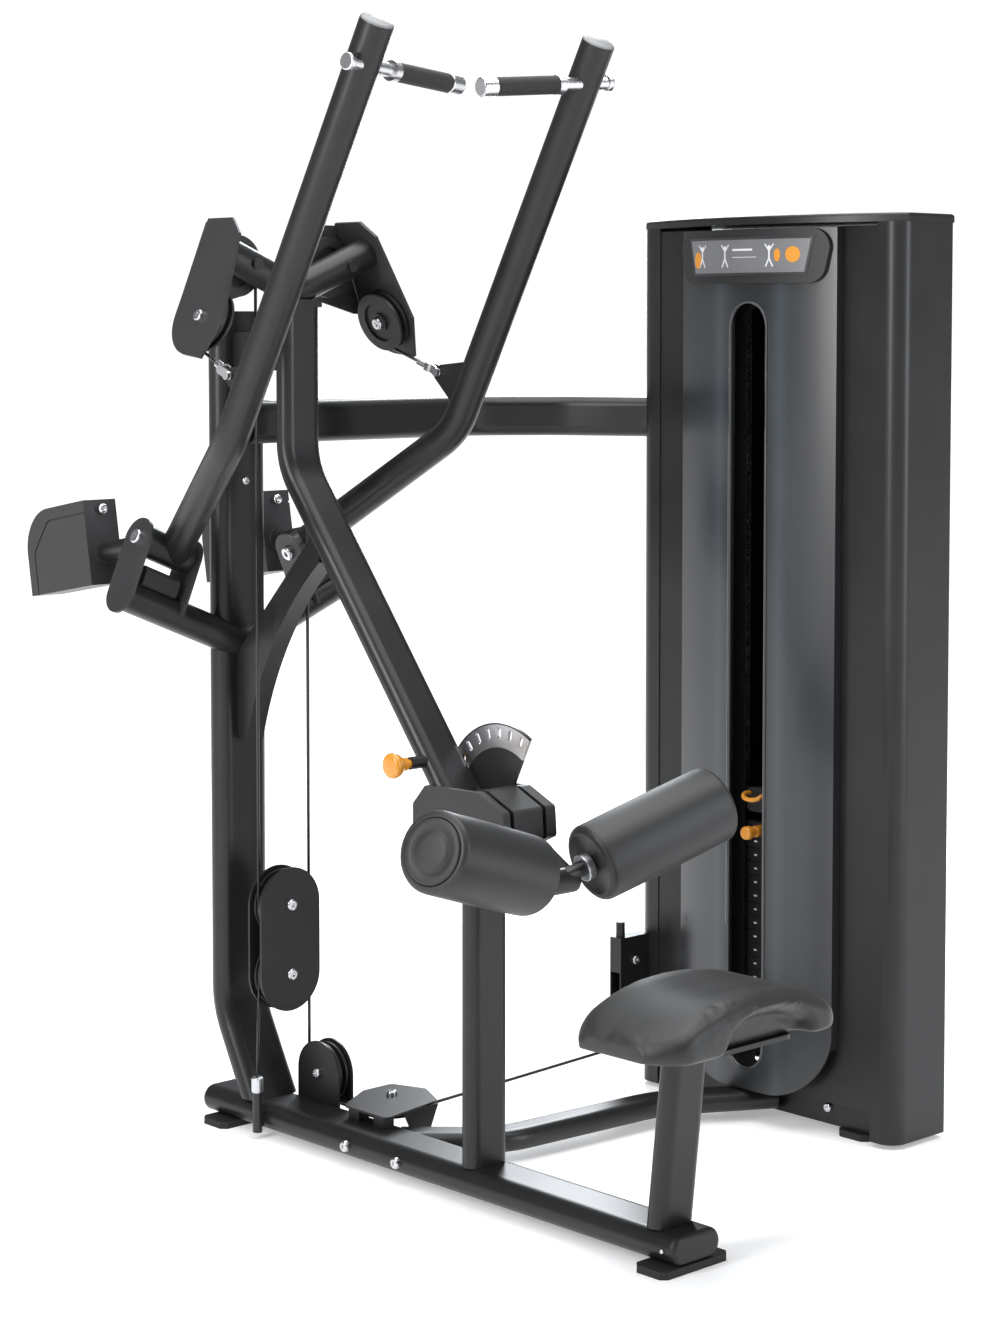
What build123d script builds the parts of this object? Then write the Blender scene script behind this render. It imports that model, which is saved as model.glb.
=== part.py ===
"""Lat pulldown machine: weight tower, twin press-down arms on a V yoke, seat and thigh rollers.

Frame: origin at the centre of the front foot's sole, +X towards the weight tower, +Y from the seat
towards the rear column, +Z up.  Millimetres.
"""
import math
import os

from build123d import *

# ---------------------------------------------------------------- driving dimensions
WALL = 3
FOOT_T, FOOT_L, FOOT_W, REAR_FOOT_Y = 13, 70, 158, 1150
RAIL_W, RAIL_H, RAIL_FRONT, RAIL_REAR, CAP_T = 112, 50, -35, 1212, 12
RAIL_Z = FOOT_T + RAIL_H / 2
RAIL_TOP = FOOT_T + RAIL_H

COLUMN_W, COLUMN_D, COLUMN_Y, COLUMN_TOP = 116, 50, 1165, 1545
COLUMN_BEND_Z, COLUMN_FOOT_Y = 225, 1076
POST_W, POST_D = 88, 40
FRONT_Y, FRONT_TOP, FRONT_BEND_Z = 980, 1557, 1266
LOWER_POST_Y, LOWER_BEND_Z = 473, 619
SEAT_POST_FOOT_Y, SEAT_POST_TOP_Y, SEAT_POST_TOP_Z = 28, -7, 378
BEAM_Z, BEAM_Y, BEAM_H, BEAM_T = 1341, 1100, 80, 40

TILT = math.radians(22.5)
TUBE_R = 30
UPPER_YOKE_Y, UPPER_YOKE_Z, UPPER_PLATE_REACH = 985, 1588, 190
PIVOT_Y, PIVOT_Z0, PIVOT_DROP = 1155, 1036, 108
LOWER_YOKE_Z0 = PIVOT_Z0 - PIVOT_DROP / math.cos(TILT)
PLATE_T, PLATE_R = 6, 38
PIVOT_OUT, PIVOT_IN, SHAFT_R, FIT = 257, 129, 10, 0.05
ARM_BEND, ARM_TOP, ARM_ROOT_X = (264, 837, 1325), (256, 452, 2019), 155
HANDLE_OUT, HANDLE_IN, COLLAR_FROM_OUT = (302, 472, 1953), (25, 508, 1932), 104
LUG_HOLE = (246, 858, 1436)
WEIGHT_PITCH_DEG, WEIGHT_NEAR, WEIGHT_FAR = 10, 147, 350

CABLE_R, CABLE_Y, GROOVE_GAP = 3, 1027, 1.7
BLOCK_R, BLOCK_LOW_Z, BLOCK_HIGH_Z = 60, 306, 438
PULLEY_R, PULLEY_W, RIM = 50, 20, 7
TOP_PULLEY_Z, OUTER_PULLEY_Z, RUN_TOP_Z, RUN_BOTTOM_Z = 1632, 1532, 1560, 118
BASE_R, BASE_Z, LINE_Y, LINE_Z = 48, 115, 795, 92
BASE_TRACK_Z = BASE_Z - BASE_R

HUB_Y, HUB_Z, PIN_Y, PIN_Z = 483.5, 690, 583, 762
ROLLER_R, ROLLER_SHAFT_R = 68, 14
ROLLER_OUT, ROLLER_IN = (332, 235, 689), (72, 285, 607)
SLOT_COUNT, SLOT_STEP = 7, 13
FAN_X, FAN_T = 50, 6

SEAT_TOP, SEAT_EDGE, SEAT_BOTTOM, SEAT_HALF_W, SEAT_BACK, SEAT_FRONT = 478, 418, 387, 222, -180, 70

TOWER_X0, TOWER_X1, TOWER_Y0, TOWER_Y1, TOWER_Z0, TOWER_TOP = 734, 884, 155, 811, 9, 1712
TOWER_MID = (TOWER_Y0 + TOWER_Y1) / 2
UPRIGHT_W, UPRIGHT_R, SHEET = 56, 34, 3
STACK_X0, STACK_X1, STACK_HALF = 748, 858, 150
STACK_Z0, PLATE_PITCH, WEIGHT_T, PLATES = 120, 26.5, 25.4, 16
STACK_X = (STACK_X0 + STACK_X1) / 2
HEAD_Z = STACK_Z0 + PLATES * PLATE_PITCH
ROD_Y, ROD_R = 105, 10
SLOT_HALF, SLOT_Z0, SLOT_Z1 = 45, 105, 1566
SHIELD_HALF, SHIELD_Z0, SHIELD_X0, SHIELD_BULGE = 193, 62, 716, 28
UP_RUN_X = 762

cos_t, sin_t = math.cos(TILT), math.sin(TILT)
axis_right = Vector(cos_t, 0, sin_t)
up_right = Vector(-sin_t, 0, cos_t)
slant_dir = Vector(0, FRONT_Y - LOWER_POST_Y, FRONT_BEND_Z - LOWER_BEND_Z).normalized()


def save(part, name):
    """Label a finished piece and write it as one STEP file."""
    part.label = name
    export_step(part, f"parts/{name}.step")


def pivot_point(along, drop=0.0):
    """Point on the right pivot axis, `along` it from the mirror plane and `drop` below it."""
    return Vector(0, PIVOT_Y, PIVOT_Z0) + axis_right * along - up_right * drop


def flat_oval(width, depth, wall):
    """Flat-oval tube section in the current sketch."""
    SlotOverall(width, depth)
    if wall:
        SlotOverall(width - 2 * wall, depth - 2 * wall, mode=Mode.SUBTRACT)


def oval_tube(points, width, depth, bend=100.0, x_dir=(1, 0, 0), wall=WALL):
    """Flat-oval tube along straight runs joined by bends of one radius."""
    with BuildPart() as tube:
        with BuildLine():
            if len(points) > 2:
                FilletPolyline(*points, radius=bend)
            else:
                Line(*points)
        with BuildSketch(Plane(points[0], x_dir=x_dir, z_dir=Vector(points[1]) - Vector(points[0]))):
            flat_oval(width, depth, wall)
        sweep()
    return tube.part


def round_tube(points, radius, bend=100.0, wall=WALL):
    """Round tube, or bar when wall is 0, along straight runs joined by bends."""
    with BuildPart() as tube:
        with BuildLine():
            if len(points) > 2:
                FilletPolyline(*points, radius=bend)
            else:
                Line(*points)
        with BuildSketch(Plane(points[0], z_dir=Vector(points[1]) - Vector(points[0]))):
            Circle(radius)
            if wall:
                Circle(radius - wall, mode=Mode.SUBTRACT)
        sweep()
    return tube.part


def cable(points, radii):
    """Cable of straight runs and tangent arcs; its volume is compared with section times length."""
    with BuildPart() as rope:
        with BuildLine() as route:
            if len(points) > 2:
                FilletPolyline(*points, radius=radii)
            else:
                Line(*points)
        with BuildSketch(Plane(points[0], z_dir=Vector(points[1]) - Vector(points[0]))):
            Circle(CABLE_R)
        sweep()
    length = sum(edge.length for edge in route.line.edges())
    print(f"cable {length:.0f} mm, radii {radii}, fill {rope.part.volume / (length * math.pi * CABLE_R**2):.4f}")
    return rope.part


def pulley(centre, axis, pitch_r, rim=RIM):
    """Grooved pulley wheel with a dished web and a bored boss."""
    face = Plane(centre, z_dir=axis)
    half = PULLEY_W / 2
    gap = CABLE_R + GROOVE_GAP
    with BuildPart() as wheel:
        with BuildSketch(face.offset(-half)):
            Circle(pitch_r + rim)
            Circle(SHAFT_R * 0.8 + FIT, mode=Mode.SUBTRACT)
        extrude(amount=PULLEY_W)
        with BuildSketch(face.offset(-half), face.offset(half - 4)):
            Circle(pitch_r - 12)
            Circle(18, mode=Mode.SUBTRACT)
        extrude(amount=4, mode=Mode.SUBTRACT)
        with BuildSketch(face.offset(-gap)):
            Circle(pitch_r + rim + 1)
            Circle(pitch_r - CABLE_R - 0.6, mode=Mode.SUBTRACT)
        extrude(amount=2 * gap, mode=Mode.SUBTRACT)
    return wheel.part


def cylinder(start, direction, radius, length, bore=0.0, round_end=0.0):
    """Round boss, sleeve or pin from a point along a direction."""
    with BuildPart() as boss:
        with BuildSketch(Plane(start, z_dir=direction)):
            Circle(radius)
            if bore:
                Circle(bore, mode=Mode.SUBTRACT)
        extrude(amount=length)
        if round_end:
            fillet(boss.edges().filter_by(GeomType.CIRCLE).group_by(SortBy.RADIUS)[-1], round_end)
    return boss.part


def bolt_head(seat, direction, radius=9, height=8):
    """Button-head screw standing on a face, with a hexagon socket."""
    with BuildPart() as head:
        with BuildSketch(Plane(seat, z_dir=direction)):
            Circle(radius)
        extrude(amount=height)
        top = Plane(seat, z_dir=direction).offset(height)
        fillet(head.edges().group_by(lambda e: (e.center() - top.origin).length)[0], height * 0.45)
        with BuildSketch(top):
            RegularPolygon(radius * 0.45, 6)
        extrude(amount=-height * 0.5, mode=Mode.SUBTRACT)
    return head.part


def joined(*parts, cut=()):
    """Weldment of several pieces, with other shapes cut away."""
    with BuildPart() as weldment:
        for part in parts:
            add(part)
        for part in cut:
            add(part, mode=Mode.SUBTRACT)
    return weldment.part


def both_sides(part):
    """The right-hand piece and its mirror image as two solids in one node."""
    return Compound(children=[part, part.mirror(Plane.YZ)])


def plate(plane, thickness, corners, radius=0.0, holes=()):
    """Flat plate from corner points on a plane, its corners rounded, with round holes (x, y, r)."""
    with BuildPart() as sheet:
        with BuildSketch(plane) as outline:
            with BuildLine():
                Polyline(*corners, close=True)
            make_face()
            if radius:
                fillet(outline.vertices(), radius)
            for x, y, hole_r in holes:
                with Locations((x, y)):
                    Circle(hole_r, mode=Mode.SUBTRACT)
        extrude(amount=thickness)
    return sheet.part


def block(low, high, edge=0.0):
    """Rectangular block between two corners, its upright edges rounded."""
    size = [b - a for a, b in zip(low, high)]
    centre = [(a + b) / 2 for a, b in zip(low, high)]
    with BuildPart() as box:
        with BuildSketch(Plane((centre[0], centre[1], low[2]))):
            Rectangle(size[0], size[1])
        extrude(amount=size[2])
        if edge:
            fillet(box.edges().filter_by(Axis.Z), edge)
    return box.part


# ---------------------------------------------------------------- floor frame
def floor_frame():
    rail = oval_tube([(0, RAIL_FRONT + CAP_T, RAIL_Z), (0, RAIL_REAR - CAP_T, RAIL_Z)], RAIL_W, RAIL_H)
    save(rail, "base_rail")
    caps = []
    for y, direction in ((RAIL_FRONT + CAP_T, -1), (RAIL_REAR - CAP_T, 1)):
        with BuildPart() as cap:
            with BuildSketch(Plane((0, y, RAIL_Z), x_dir=(1, 0, 0), z_dir=(0, direction, 0))):
                SlotOverall(RAIL_W, RAIL_H)
            extrude(amount=CAP_T)
            fillet(cap.faces().sort_by(Axis.Y)[-1 if direction > 0 else 0].edges(), CAP_T * 0.8)
        caps.append(cap.part)
    save(Compound(children=caps), "rail_end_caps")
    feet = []
    spots = [(0, 0, FOOT_W, FOOT_L), (0, REAR_FOOT_Y, FOOT_W, FOOT_L)]
    spots += [(803, TOWER_Y0 + 110, 120, FOOT_L), (803, TOWER_Y1 - 110, 120, FOOT_L)]
    for x, y, width, length in spots:
        with BuildPart() as foot:
            with BuildSketch(Plane.XY) as sole:
                with Locations((x, y)):
                    Rectangle(width, length)
                chamfer(sole.vertices(), 10)
            extrude(amount=FOOT_T)
        feet.append(foot.part)
    save(Compound(children=feet), "floor_feet")
    route = [(40, 740, RAIL_Z), (170, 615, RAIL_Z), (560, 585, RAIL_Z), (758, 470, RAIL_Z)]
    tube = oval_tube(route, 70, 40, bend=[150, 260], x_dir=(125, 130, 0))
    rail_solid = oval_tube([(0, RAIL_FRONT, RAIL_Z), (0, RAIL_REAR, RAIL_Z)], RAIL_W, RAIL_H, wall=0)
    save(joined(tube, cut=[rail_solid, block((756, 380, 0), (800, 560, 80))]), "floor_cross_tube")


# ---------------------------------------------------------------- uprights
def uprights():
    foot = Vector(0, COLUMN_FOOT_Y, RAIL_TOP)
    knee = Vector(0, COLUMN_Y, COLUMN_BEND_Z)
    below = foot + (foot - knee).normalized() * 40
    column = oval_tube([below, knee, (0, COLUMN_Y, COLUMN_TOP)], COLUMN_W, COLUMN_D, bend=170)
    with BuildPart() as rear_column:
        add(column)
        split(bisect_by=Plane.XY.offset(RAIL_TOP), keep=Keep.TOP)
        with BuildSketch(Plane((0, COLUMN_Y, COLUMN_TOP))):
            SlotOverall(COLUMN_W, COLUMN_D)
        extrude(amount=5)
    save(rear_column.part, "rear_column")

    frame_route = [(0, LOWER_POST_Y, RAIL_TOP), (0, LOWER_POST_Y, LOWER_BEND_Z)]
    frame_route += [(0, FRONT_Y, FRONT_BEND_Z), (0, FRONT_Y, FRONT_TOP)]
    member = oval_tube(frame_route, POST_W, POST_D, bend=[90, 130])
    member_solid = oval_tube(frame_route, POST_W, POST_D, bend=[90, 130], wall=0)
    sleeve = cylinder((-30, HUB_Y, HUB_Z), (1, 0, 0), 20, 60)
    boss = cylinder((-74, PIN_Y, PIN_Z), (1, 0, 0), 11, 120)
    bores = [cylinder((-31, HUB_Y, HUB_Z), (1, 0, 0), 12 + FIT, 62)]
    bores.append(cylinder((-80, PIN_Y, PIN_Z), (1, 0, 0), 7 + FIT, 140))
    with BuildPart() as front_frame:
        add(member)
        add(joined(sleeve, cut=[member_solid]))
        add(joined(boss, cut=[member_solid]))
        for bore in bores:
            add(bore, mode=Mode.SUBTRACT)
    save(front_frame.part, "front_frame_member")

    lean = Vector(0, SEAT_POST_TOP_Y - SEAT_POST_FOOT_Y, SEAT_POST_TOP_Z - RAIL_TOP).normalized()
    foot = Vector(0, SEAT_POST_FOOT_Y, RAIL_TOP)
    top = Vector(0, SEAT_POST_TOP_Y, SEAT_POST_TOP_Z)
    with BuildPart() as seat_post:
        add(oval_tube([foot - lean * 20, top + lean * 20], POST_W, POST_D))
        split(bisect_by=Plane.XY.offset(RAIL_TOP), keep=Keep.TOP)
        split(bisect_by=Plane.XY.offset(SEAT_POST_TOP_Z), keep=Keep.BOTTOM)
        with BuildSketch(Plane((0, SEAT_POST_TOP_Y - 40, SEAT_POST_TOP_Z))):
            RectangleRounded(240, 170, 15)
        extrude(amount=8)
    save(seat_post.part, "seat_post")
    return member_solid


def ties(member_solid):
    """Slanted brace from the column to the front frame, and the short tie at their tops."""
    column_face = COLUMN_Y - COLUMN_D / 2
    with BuildPart() as brace:
        with BuildSketch(Plane.YZ.offset(-20)):
            with BuildLine():
                Polyline((column_face, 905), (895, 1160), (895, 1090))
                ThreePointArc((895, 1090), (1060, 878), (1112, 740))
                Polyline((1112, 740), (column_face, 740), (column_face, 905))
            make_face()
        extrude(amount=40)
        add(member_solid, mode=Mode.SUBTRACT)
        yoke_cut = round_tube(lower_yoke_route(), TUBE_R, bend=80, wall=0)
        add(yoke_cut, mode=Mode.SUBTRACT)
    tie = block((-25, FRONT_Y + POST_D / 2, 1440), (25, column_face, 1510))
    save(Compound(children=[max(brace.solids(), key=lambda s: s.volume), tie.solid()]), "frame_ties")


def lower_yoke_route():
    reach = PIVOT_OUT - PLATE_T + PIVOT_DROP * math.tan(TILT)
    end = Vector(0, PIVOT_Y, LOWER_YOKE_Z0) + axis_right * reach
    return [(-end.X, end.Y, end.Z), (0, PIVOT_Y, LOWER_YOKE_Z0), end]


def upper_beam():
    route = [(-20, BEAM_Y, BEAM_Z), (560, BEAM_Y, BEAM_Z), (690, 1000, BEAM_Z), (800, TOWER_Y1 - 20, BEAM_Z)]
    tube = oval_tube(route, BEAM_H, BEAM_T, bend=[150, 150], x_dir=(0, 0, 1))
    pad = block((-45, BEAM_Y + BEAM_T / 2, BEAM_Z - 40), (45, COLUMN_Y - COLUMN_D / 2, BEAM_Z + 40))
    tower_side = block((640, TOWER_Y1 - 120, BEAM_Z - 90), (900, TOWER_Y1, BEAM_Z + 90))
    save(joined(tube, pad, cut=[tower_side]), "upper_beam")


# ---------------------------------------------------------------- yokes and plates
def yokes():
    end = Vector(0, UPPER_YOKE_Y, UPPER_YOKE_Z) + axis_right * (UPPER_PLATE_REACH - PLATE_T)
    tube = round_tube([(-end.X, end.Y, end.Z), (0, end.Y, UPPER_YOKE_Z), end], TUBE_R, bend=60)
    with BuildPart() as upper:
        add(tube)
        for x in (-112, 112):
            with BuildSketch(Plane((x, UPPER_YOKE_Y - TUBE_R + 2, 1634), z_dir=(0, -1, 0))):
                Circle(11)
            extrude(amount=8)
        add(block((-44, FRONT_Y - 19, FRONT_TOP), (44, FRONT_Y + 19, FRONT_TOP + 14)))
        hollow = round_tube([(-end.X, end.Y, end.Z), (0, end.Y, UPPER_YOKE_Z), end], TUBE_R - WALL, 60, 0)
        add(hollow, mode=Mode.SUBTRACT)
    save(upper.part, "upper_yoke")

    face = Vector(0, 0, UPPER_YOKE_Z) + axis_right * UPPER_PLATE_REACH
    top = face + up_right * 62
    plane = Plane(top, x_dir=(0, 1, 0), z_dir=axis_right)
    centre_y, centre_s = outer_pulley_y(), (outer_pulley_centre() - top).dot(up_right)
    with BuildPart() as side_plate:
        with BuildSketch(plane.offset(-PLATE_T)) as outline:
            with BuildLine():
                bend_start = (centre_y + 75, centre_s)
                bend_end = (centre_y + 14, centre_s - 73.7)
                mid = (centre_y + 75 * math.cos(0.69), centre_s - 75 * math.sin(0.69))
                ThreePointArc(bend_start, mid, bend_end)
                Polyline(bend_end, (938, -273), (910, -195), (942, -30), (975, 0), (1048, 0), bend_start)
            make_face()
            with Locations((centre_y, centre_s)):
                Circle(SHAFT_R * 0.8, mode=Mode.SUBTRACT)
        extrude(amount=PLATE_T)
        wing = [(66, 1580), (66, 1672), (120, 1712), (190, 1712), (230, 1545), (195, 1545)]
        with BuildSketch(Plane.XZ.offset(-1051)):
            with BuildLine():
                Polyline(*wing, close=True)
            make_face()
        extrude(amount=5)
        outside = Plane(face, z_dir=axis_right)
        split(bisect_by=outside, keep=Keep.BOTTOM)
    solid = max(side_plate.solids(), key=lambda s: s.volume)
    save(both_sides(solid), "upper_pulley_plates")

    column = oval_tube([(0, COLUMN_Y, 700), (0, COLUMN_Y, 1100)], COLUMN_W, COLUMN_D, wall=0)
    tube = round_tube(lower_yoke_route(), TUBE_R, bend=80)
    save(joined(tube, cut=[column]), "lower_yoke")


def outer_pulley_y():
    return CABLE_Y - PULLEY_R


def pivot_mounts():
    """Outer and inner pivot plates; returns the pivot shafts and the arms' rubber stops."""
    plates = []
    for along in (PIVOT_OUT - PLATE_T, PIVOT_IN):
        with BuildPart() as cheek:
            middle = pivot_point(along, PIVOT_DROP / 2)
            with BuildSketch(Plane(middle, x_dir=up_right, z_dir=axis_right)):
                SlotOverall(PIVOT_DROP + 2 * PLATE_R, 2 * PLATE_R)
                with Locations((PIVOT_DROP / 2, 0)):
                    Circle(SHAFT_R, mode=Mode.SUBTRACT)
            extrude(amount=PLATE_T)
            if along == PIVOT_IN:
                add(cylinder(pivot_point(along - 5, PIVOT_DROP), axis_right, TUBE_R, 30), mode=Mode.SUBTRACT)
                low = Plane(pivot_point(along, PIVOT_DROP), z_dir=up_right)
                split(bisect_by=low, keep=Keep.TOP)
        plates.append(max(cheek.solids(), key=lambda s: s.volume))
    save(Compound(children=[both_sides(p) for p in plates]), "pivot_plates")

    shaft = cylinder(pivot_point(PIVOT_IN - 1), axis_right, SHAFT_R, PIVOT_OUT - PIVOT_IN + 2)
    heads = [bolt_head(pivot_point(PIVOT_OUT), axis_right, 14, 9)]
    heads.append(bolt_head(pivot_point(PIVOT_IN), -axis_right, 14, 9))
    shafts = both_sides(joined(shaft, *heads))

    with BuildPart() as stop:
        with BuildSketch(Plane(pivot_point(150, 84), x_dir=(0, 1, 0), z_dir=axis_right)) as end:
            with Locations((0, 19)):
                Rectangle(50, 38)
            fillet(end.vertices(), 9)
        extrude(amount=82)
        add(round_tube(lower_yoke_route(), TUBE_R, bend=80, wall=0), mode=Mode.SUBTRACT)
    return shafts, both_sides(max(stop.solids(), key=lambda s: s.volume))


# ---------------------------------------------------------------- arms
def arm(side_name, turned):
    """Right-hand arm assembly; `turned` mirrors each piece for the left hand."""
    root = pivot_point(ARM_ROOT_X / cos_t)
    tube = round_tube([root, ARM_BEND, ARM_TOP], TUBE_R, bend=150)
    hub_start, hub_length = PIVOT_IN + PLATE_T + 2, PIVOT_OUT - PIVOT_IN - 2 * PLATE_T - 4
    hub = cylinder(pivot_point(hub_start), axis_right, 31, hub_length)
    stem_dir = Vector(0, math.cos(math.radians(WEIGHT_PITCH_DEG)), -math.sin(math.radians(WEIGHT_PITCH_DEG)))
    stem_at = pivot_point(210 / cos_t)
    stem = cylinder(stem_at, stem_dir, 17, WEIGHT_NEAR)
    hollows = [cylinder(pivot_point(hub_start - 1), axis_right, SHAFT_R + FIT, hub_length + 2)]
    hollows.append(cylinder(pivot_point(hub_start + 20), axis_right, 25, hub_length - 40))
    top_dir = (Vector(ARM_TOP) - Vector(ARM_BEND)).normalized()
    cap = cylinder(Vector(ARM_TOP) - top_dir * 8, top_dir, TUBE_R - WALL, 6)
    lug_plane = Plane((LUG_HOLE[0] + 4, 0, 0), x_dir=(0, 1, 0), z_dir=(-1, 0, 0))
    lug_y, lug_z = LUG_HOLE[1], LUG_HOLE[2]
    tip = [(lug_y + 14, lug_z + 12), (lug_y + 14, lug_z - 10), (lug_y - 40, lug_z - 62), (lug_y - 75, lug_z + 20)]
    with BuildPart() as lug:
        with BuildSketch(Plane.YZ.offset(LUG_HOLE[0] - 4)) as outline:
            with BuildLine():
                Polyline(*tip, close=True)
            make_face()
            with Locations((lug_y, lug_z)):
                Circle(5, mode=Mode.SUBTRACT)
        extrude(amount=8)
        add(round_tube([root, ARM_BEND, ARM_TOP], TUBE_R - WALL, bend=150, wall=0), mode=Mode.SUBTRACT)
    with BuildPart() as arm_tube:
        add(tube)
        add(hub)
        add(stem)
        add(max(lug.solids(), key=lambda s: s.volume))
        add(cap)
        for hollow in hollows:
            add(hollow, mode=Mode.SUBTRACT)
        bar_dir = Vector(HANDLE_IN) - Vector(HANDLE_OUT)
        add(cylinder(HANDLE_OUT, bar_dir, 12, 90), mode=Mode.SUBTRACT)
    pieces = {"arm_tube": max(arm_tube.solids(), key=lambda s: s.volume)}

    bar_dir = bar_dir.normalized()
    inner = Vector(HANDLE_IN)
    with BuildPart() as bar:
        add(cylinder(HANDLE_OUT, bar_dir, 12, (inner - Vector(HANDLE_OUT)).length - 6))
        add(cylinder(inner - bar_dir * 31, bar_dir, 17.5, 31, round_end=3))
        add(cylinder(Vector(HANDLE_OUT) + bar_dir * COLLAR_FROM_OUT, bar_dir, 17.5, 14))
        add(cylinder(Vector(HANDLE_OUT) - bar_dir * 4, bar_dir, 15, 12, round_end=3))
    pieces["handle_bar"] = bar.part.solid()
    grip_start = Vector(HANDLE_OUT) + bar_dir * (COLLAR_FROM_OUT + 14)
    grip_length = (inner - bar_dir * 31 - grip_start).length
    with BuildPart() as grip:
        add(cylinder(grip_start, bar_dir, 16.5, grip_length, bore=12))
    pieces["handle_grip"] = grip.part.solid()

    hole, run_end = Vector(LUG_HOLE), outer_tangent()
    pull = (run_end - hole).normalized()
    side = Vector(1, 0, 0)
    with BuildPart() as clevis:
        for shift in (-9, 5):
            with BuildSketch(Plane(hole + side * shift, x_dir=pull, z_dir=side)):
                with Locations((13, 0)):
                    SlotOverall(44, 16)
            extrude(amount=4)
        with BuildSketch(Plane(hole + pull * 24 - side * 9, x_dir=pull, z_dir=side)):
            with Locations((5, 0)):
                Rectangle(10, 16)
        extrude(amount=18)
        add(cylinder(hole + pull * 30, pull, 7, 26))
        add(cylinder(hole - side * 14, side, 4.9, 28))
        add(cylinder(hole - side * 15, side, 8, 6))
        add(cylinder(hole + side * 9, side, 8, 6))
    pieces["cable_clevis"] = clevis.part.solid()

    weight_plane = Plane(stem_at, x_dir=stem_dir, z_dir=(1, 0, 0))
    with BuildPart() as weight:
        with BuildSketch(weight_plane.offset(-38)) as profile:
            with BuildLine():
                corners = [(WEIGHT_NEAR, -62), (WEIGHT_FAR, -62), (WEIGHT_FAR, 20)]
                Polyline(*corners)
                RadiusArc((WEIGHT_FAR, 20), (WEIGHT_FAR - 80, 99), -80)
                Polyline((WEIGHT_FAR - 80, 99), (WEIGHT_NEAR, 99), corners[0])
            make_face()
        extrude(amount=75)
        fillet(weight.edges().filter_by(lambda e: e.center().X > 247 or e.center().X < 173), 2)
        with BuildSketch(weight_plane.offset(37)):
            with BuildLine():
                inset = [(WEIGHT_NEAR - 2, 75), (WEIGHT_FAR - 80, 75), (WEIGHT_FAR - 24, 20), (WEIGHT_FAR - 24, -64)]
                FilletPolyline(*inset, radius=[18, 30])
            trace(line_width=3)
        extrude(amount=-3, mode=Mode.SUBTRACT)
        with BuildSketch(Plane(stem_at + stem_dir * WEIGHT_NEAR, z_dir=-stem_dir)):
            Circle(25)
        extrude(amount=5)
        add(cylinder(stem_at, stem_dir, 17 + FIT, WEIGHT_NEAR), mode=Mode.SUBTRACT)
    pieces["counterweight"] = weight.part.solid()
    for name, solid in pieces.items():
        save(Part(solid.mirror(Plane.YZ).wrapped) if turned else Part(solid.wrapped), f"{name}_{side_name}")


def outer_pulley_centre():
    """Centre of the right outer pulley: its rear tangent lines up with the top pulley's outer side."""
    tangent = Vector(BLOCK_R + PULLEY_R, 0, TOP_PULLEY_Z) + axis_right * PULLEY_R
    along = (OUTER_PULLEY_Z - tangent.Z) / up_right.Z
    return Vector(tangent.X + up_right.X * along, outer_pulley_y(), OUTER_PULLEY_Z)


def outer_tangent():
    """Where the run from the arm's clevis first touches the outer pulley."""
    centre, hole = outer_pulley_centre(), Vector(LUG_HOLE)
    flat_y, flat_u = hole.Y - centre.Y, (hole - centre).dot(up_right)
    angle = math.atan2(flat_u, flat_y) + math.acos(PULLEY_R / math.hypot(flat_y, flat_u))
    return centre + Vector(0, 1, 0) * PULLEY_R * math.cos(angle) + up_right * PULLEY_R * math.sin(angle)


# ---------------------------------------------------------------- cables, pulleys and block
def swivel_pulley_place():
    """Centre and axis of the pulley that turns the cable from the rail towards the tower."""
    leaving = Vector(UP_RUN_X - BLOCK_R, 0, LINE_Z - BASE_TRACK_Z).normalized()
    centre = Vector(BLOCK_R, LINE_Y + PULLEY_R, BASE_TRACK_Z) + leaving * PULLEY_R
    return centre, Vector(-leaving.Z, 0, leaving.X)


def tower_pulley_z():
    """Height of the pulley that turns the floor-level cable up into the tower."""
    slope = math.atan2(LINE_Z - BASE_TRACK_Z, UP_RUN_X - BLOCK_R)
    return LINE_Z - PULLEY_R * math.tan(slope) + PULLEY_R / math.cos(slope)


LEAN_GAP = 0.2     # the leaning run stops short, so its tilted end clears the level one on the wheel


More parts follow.
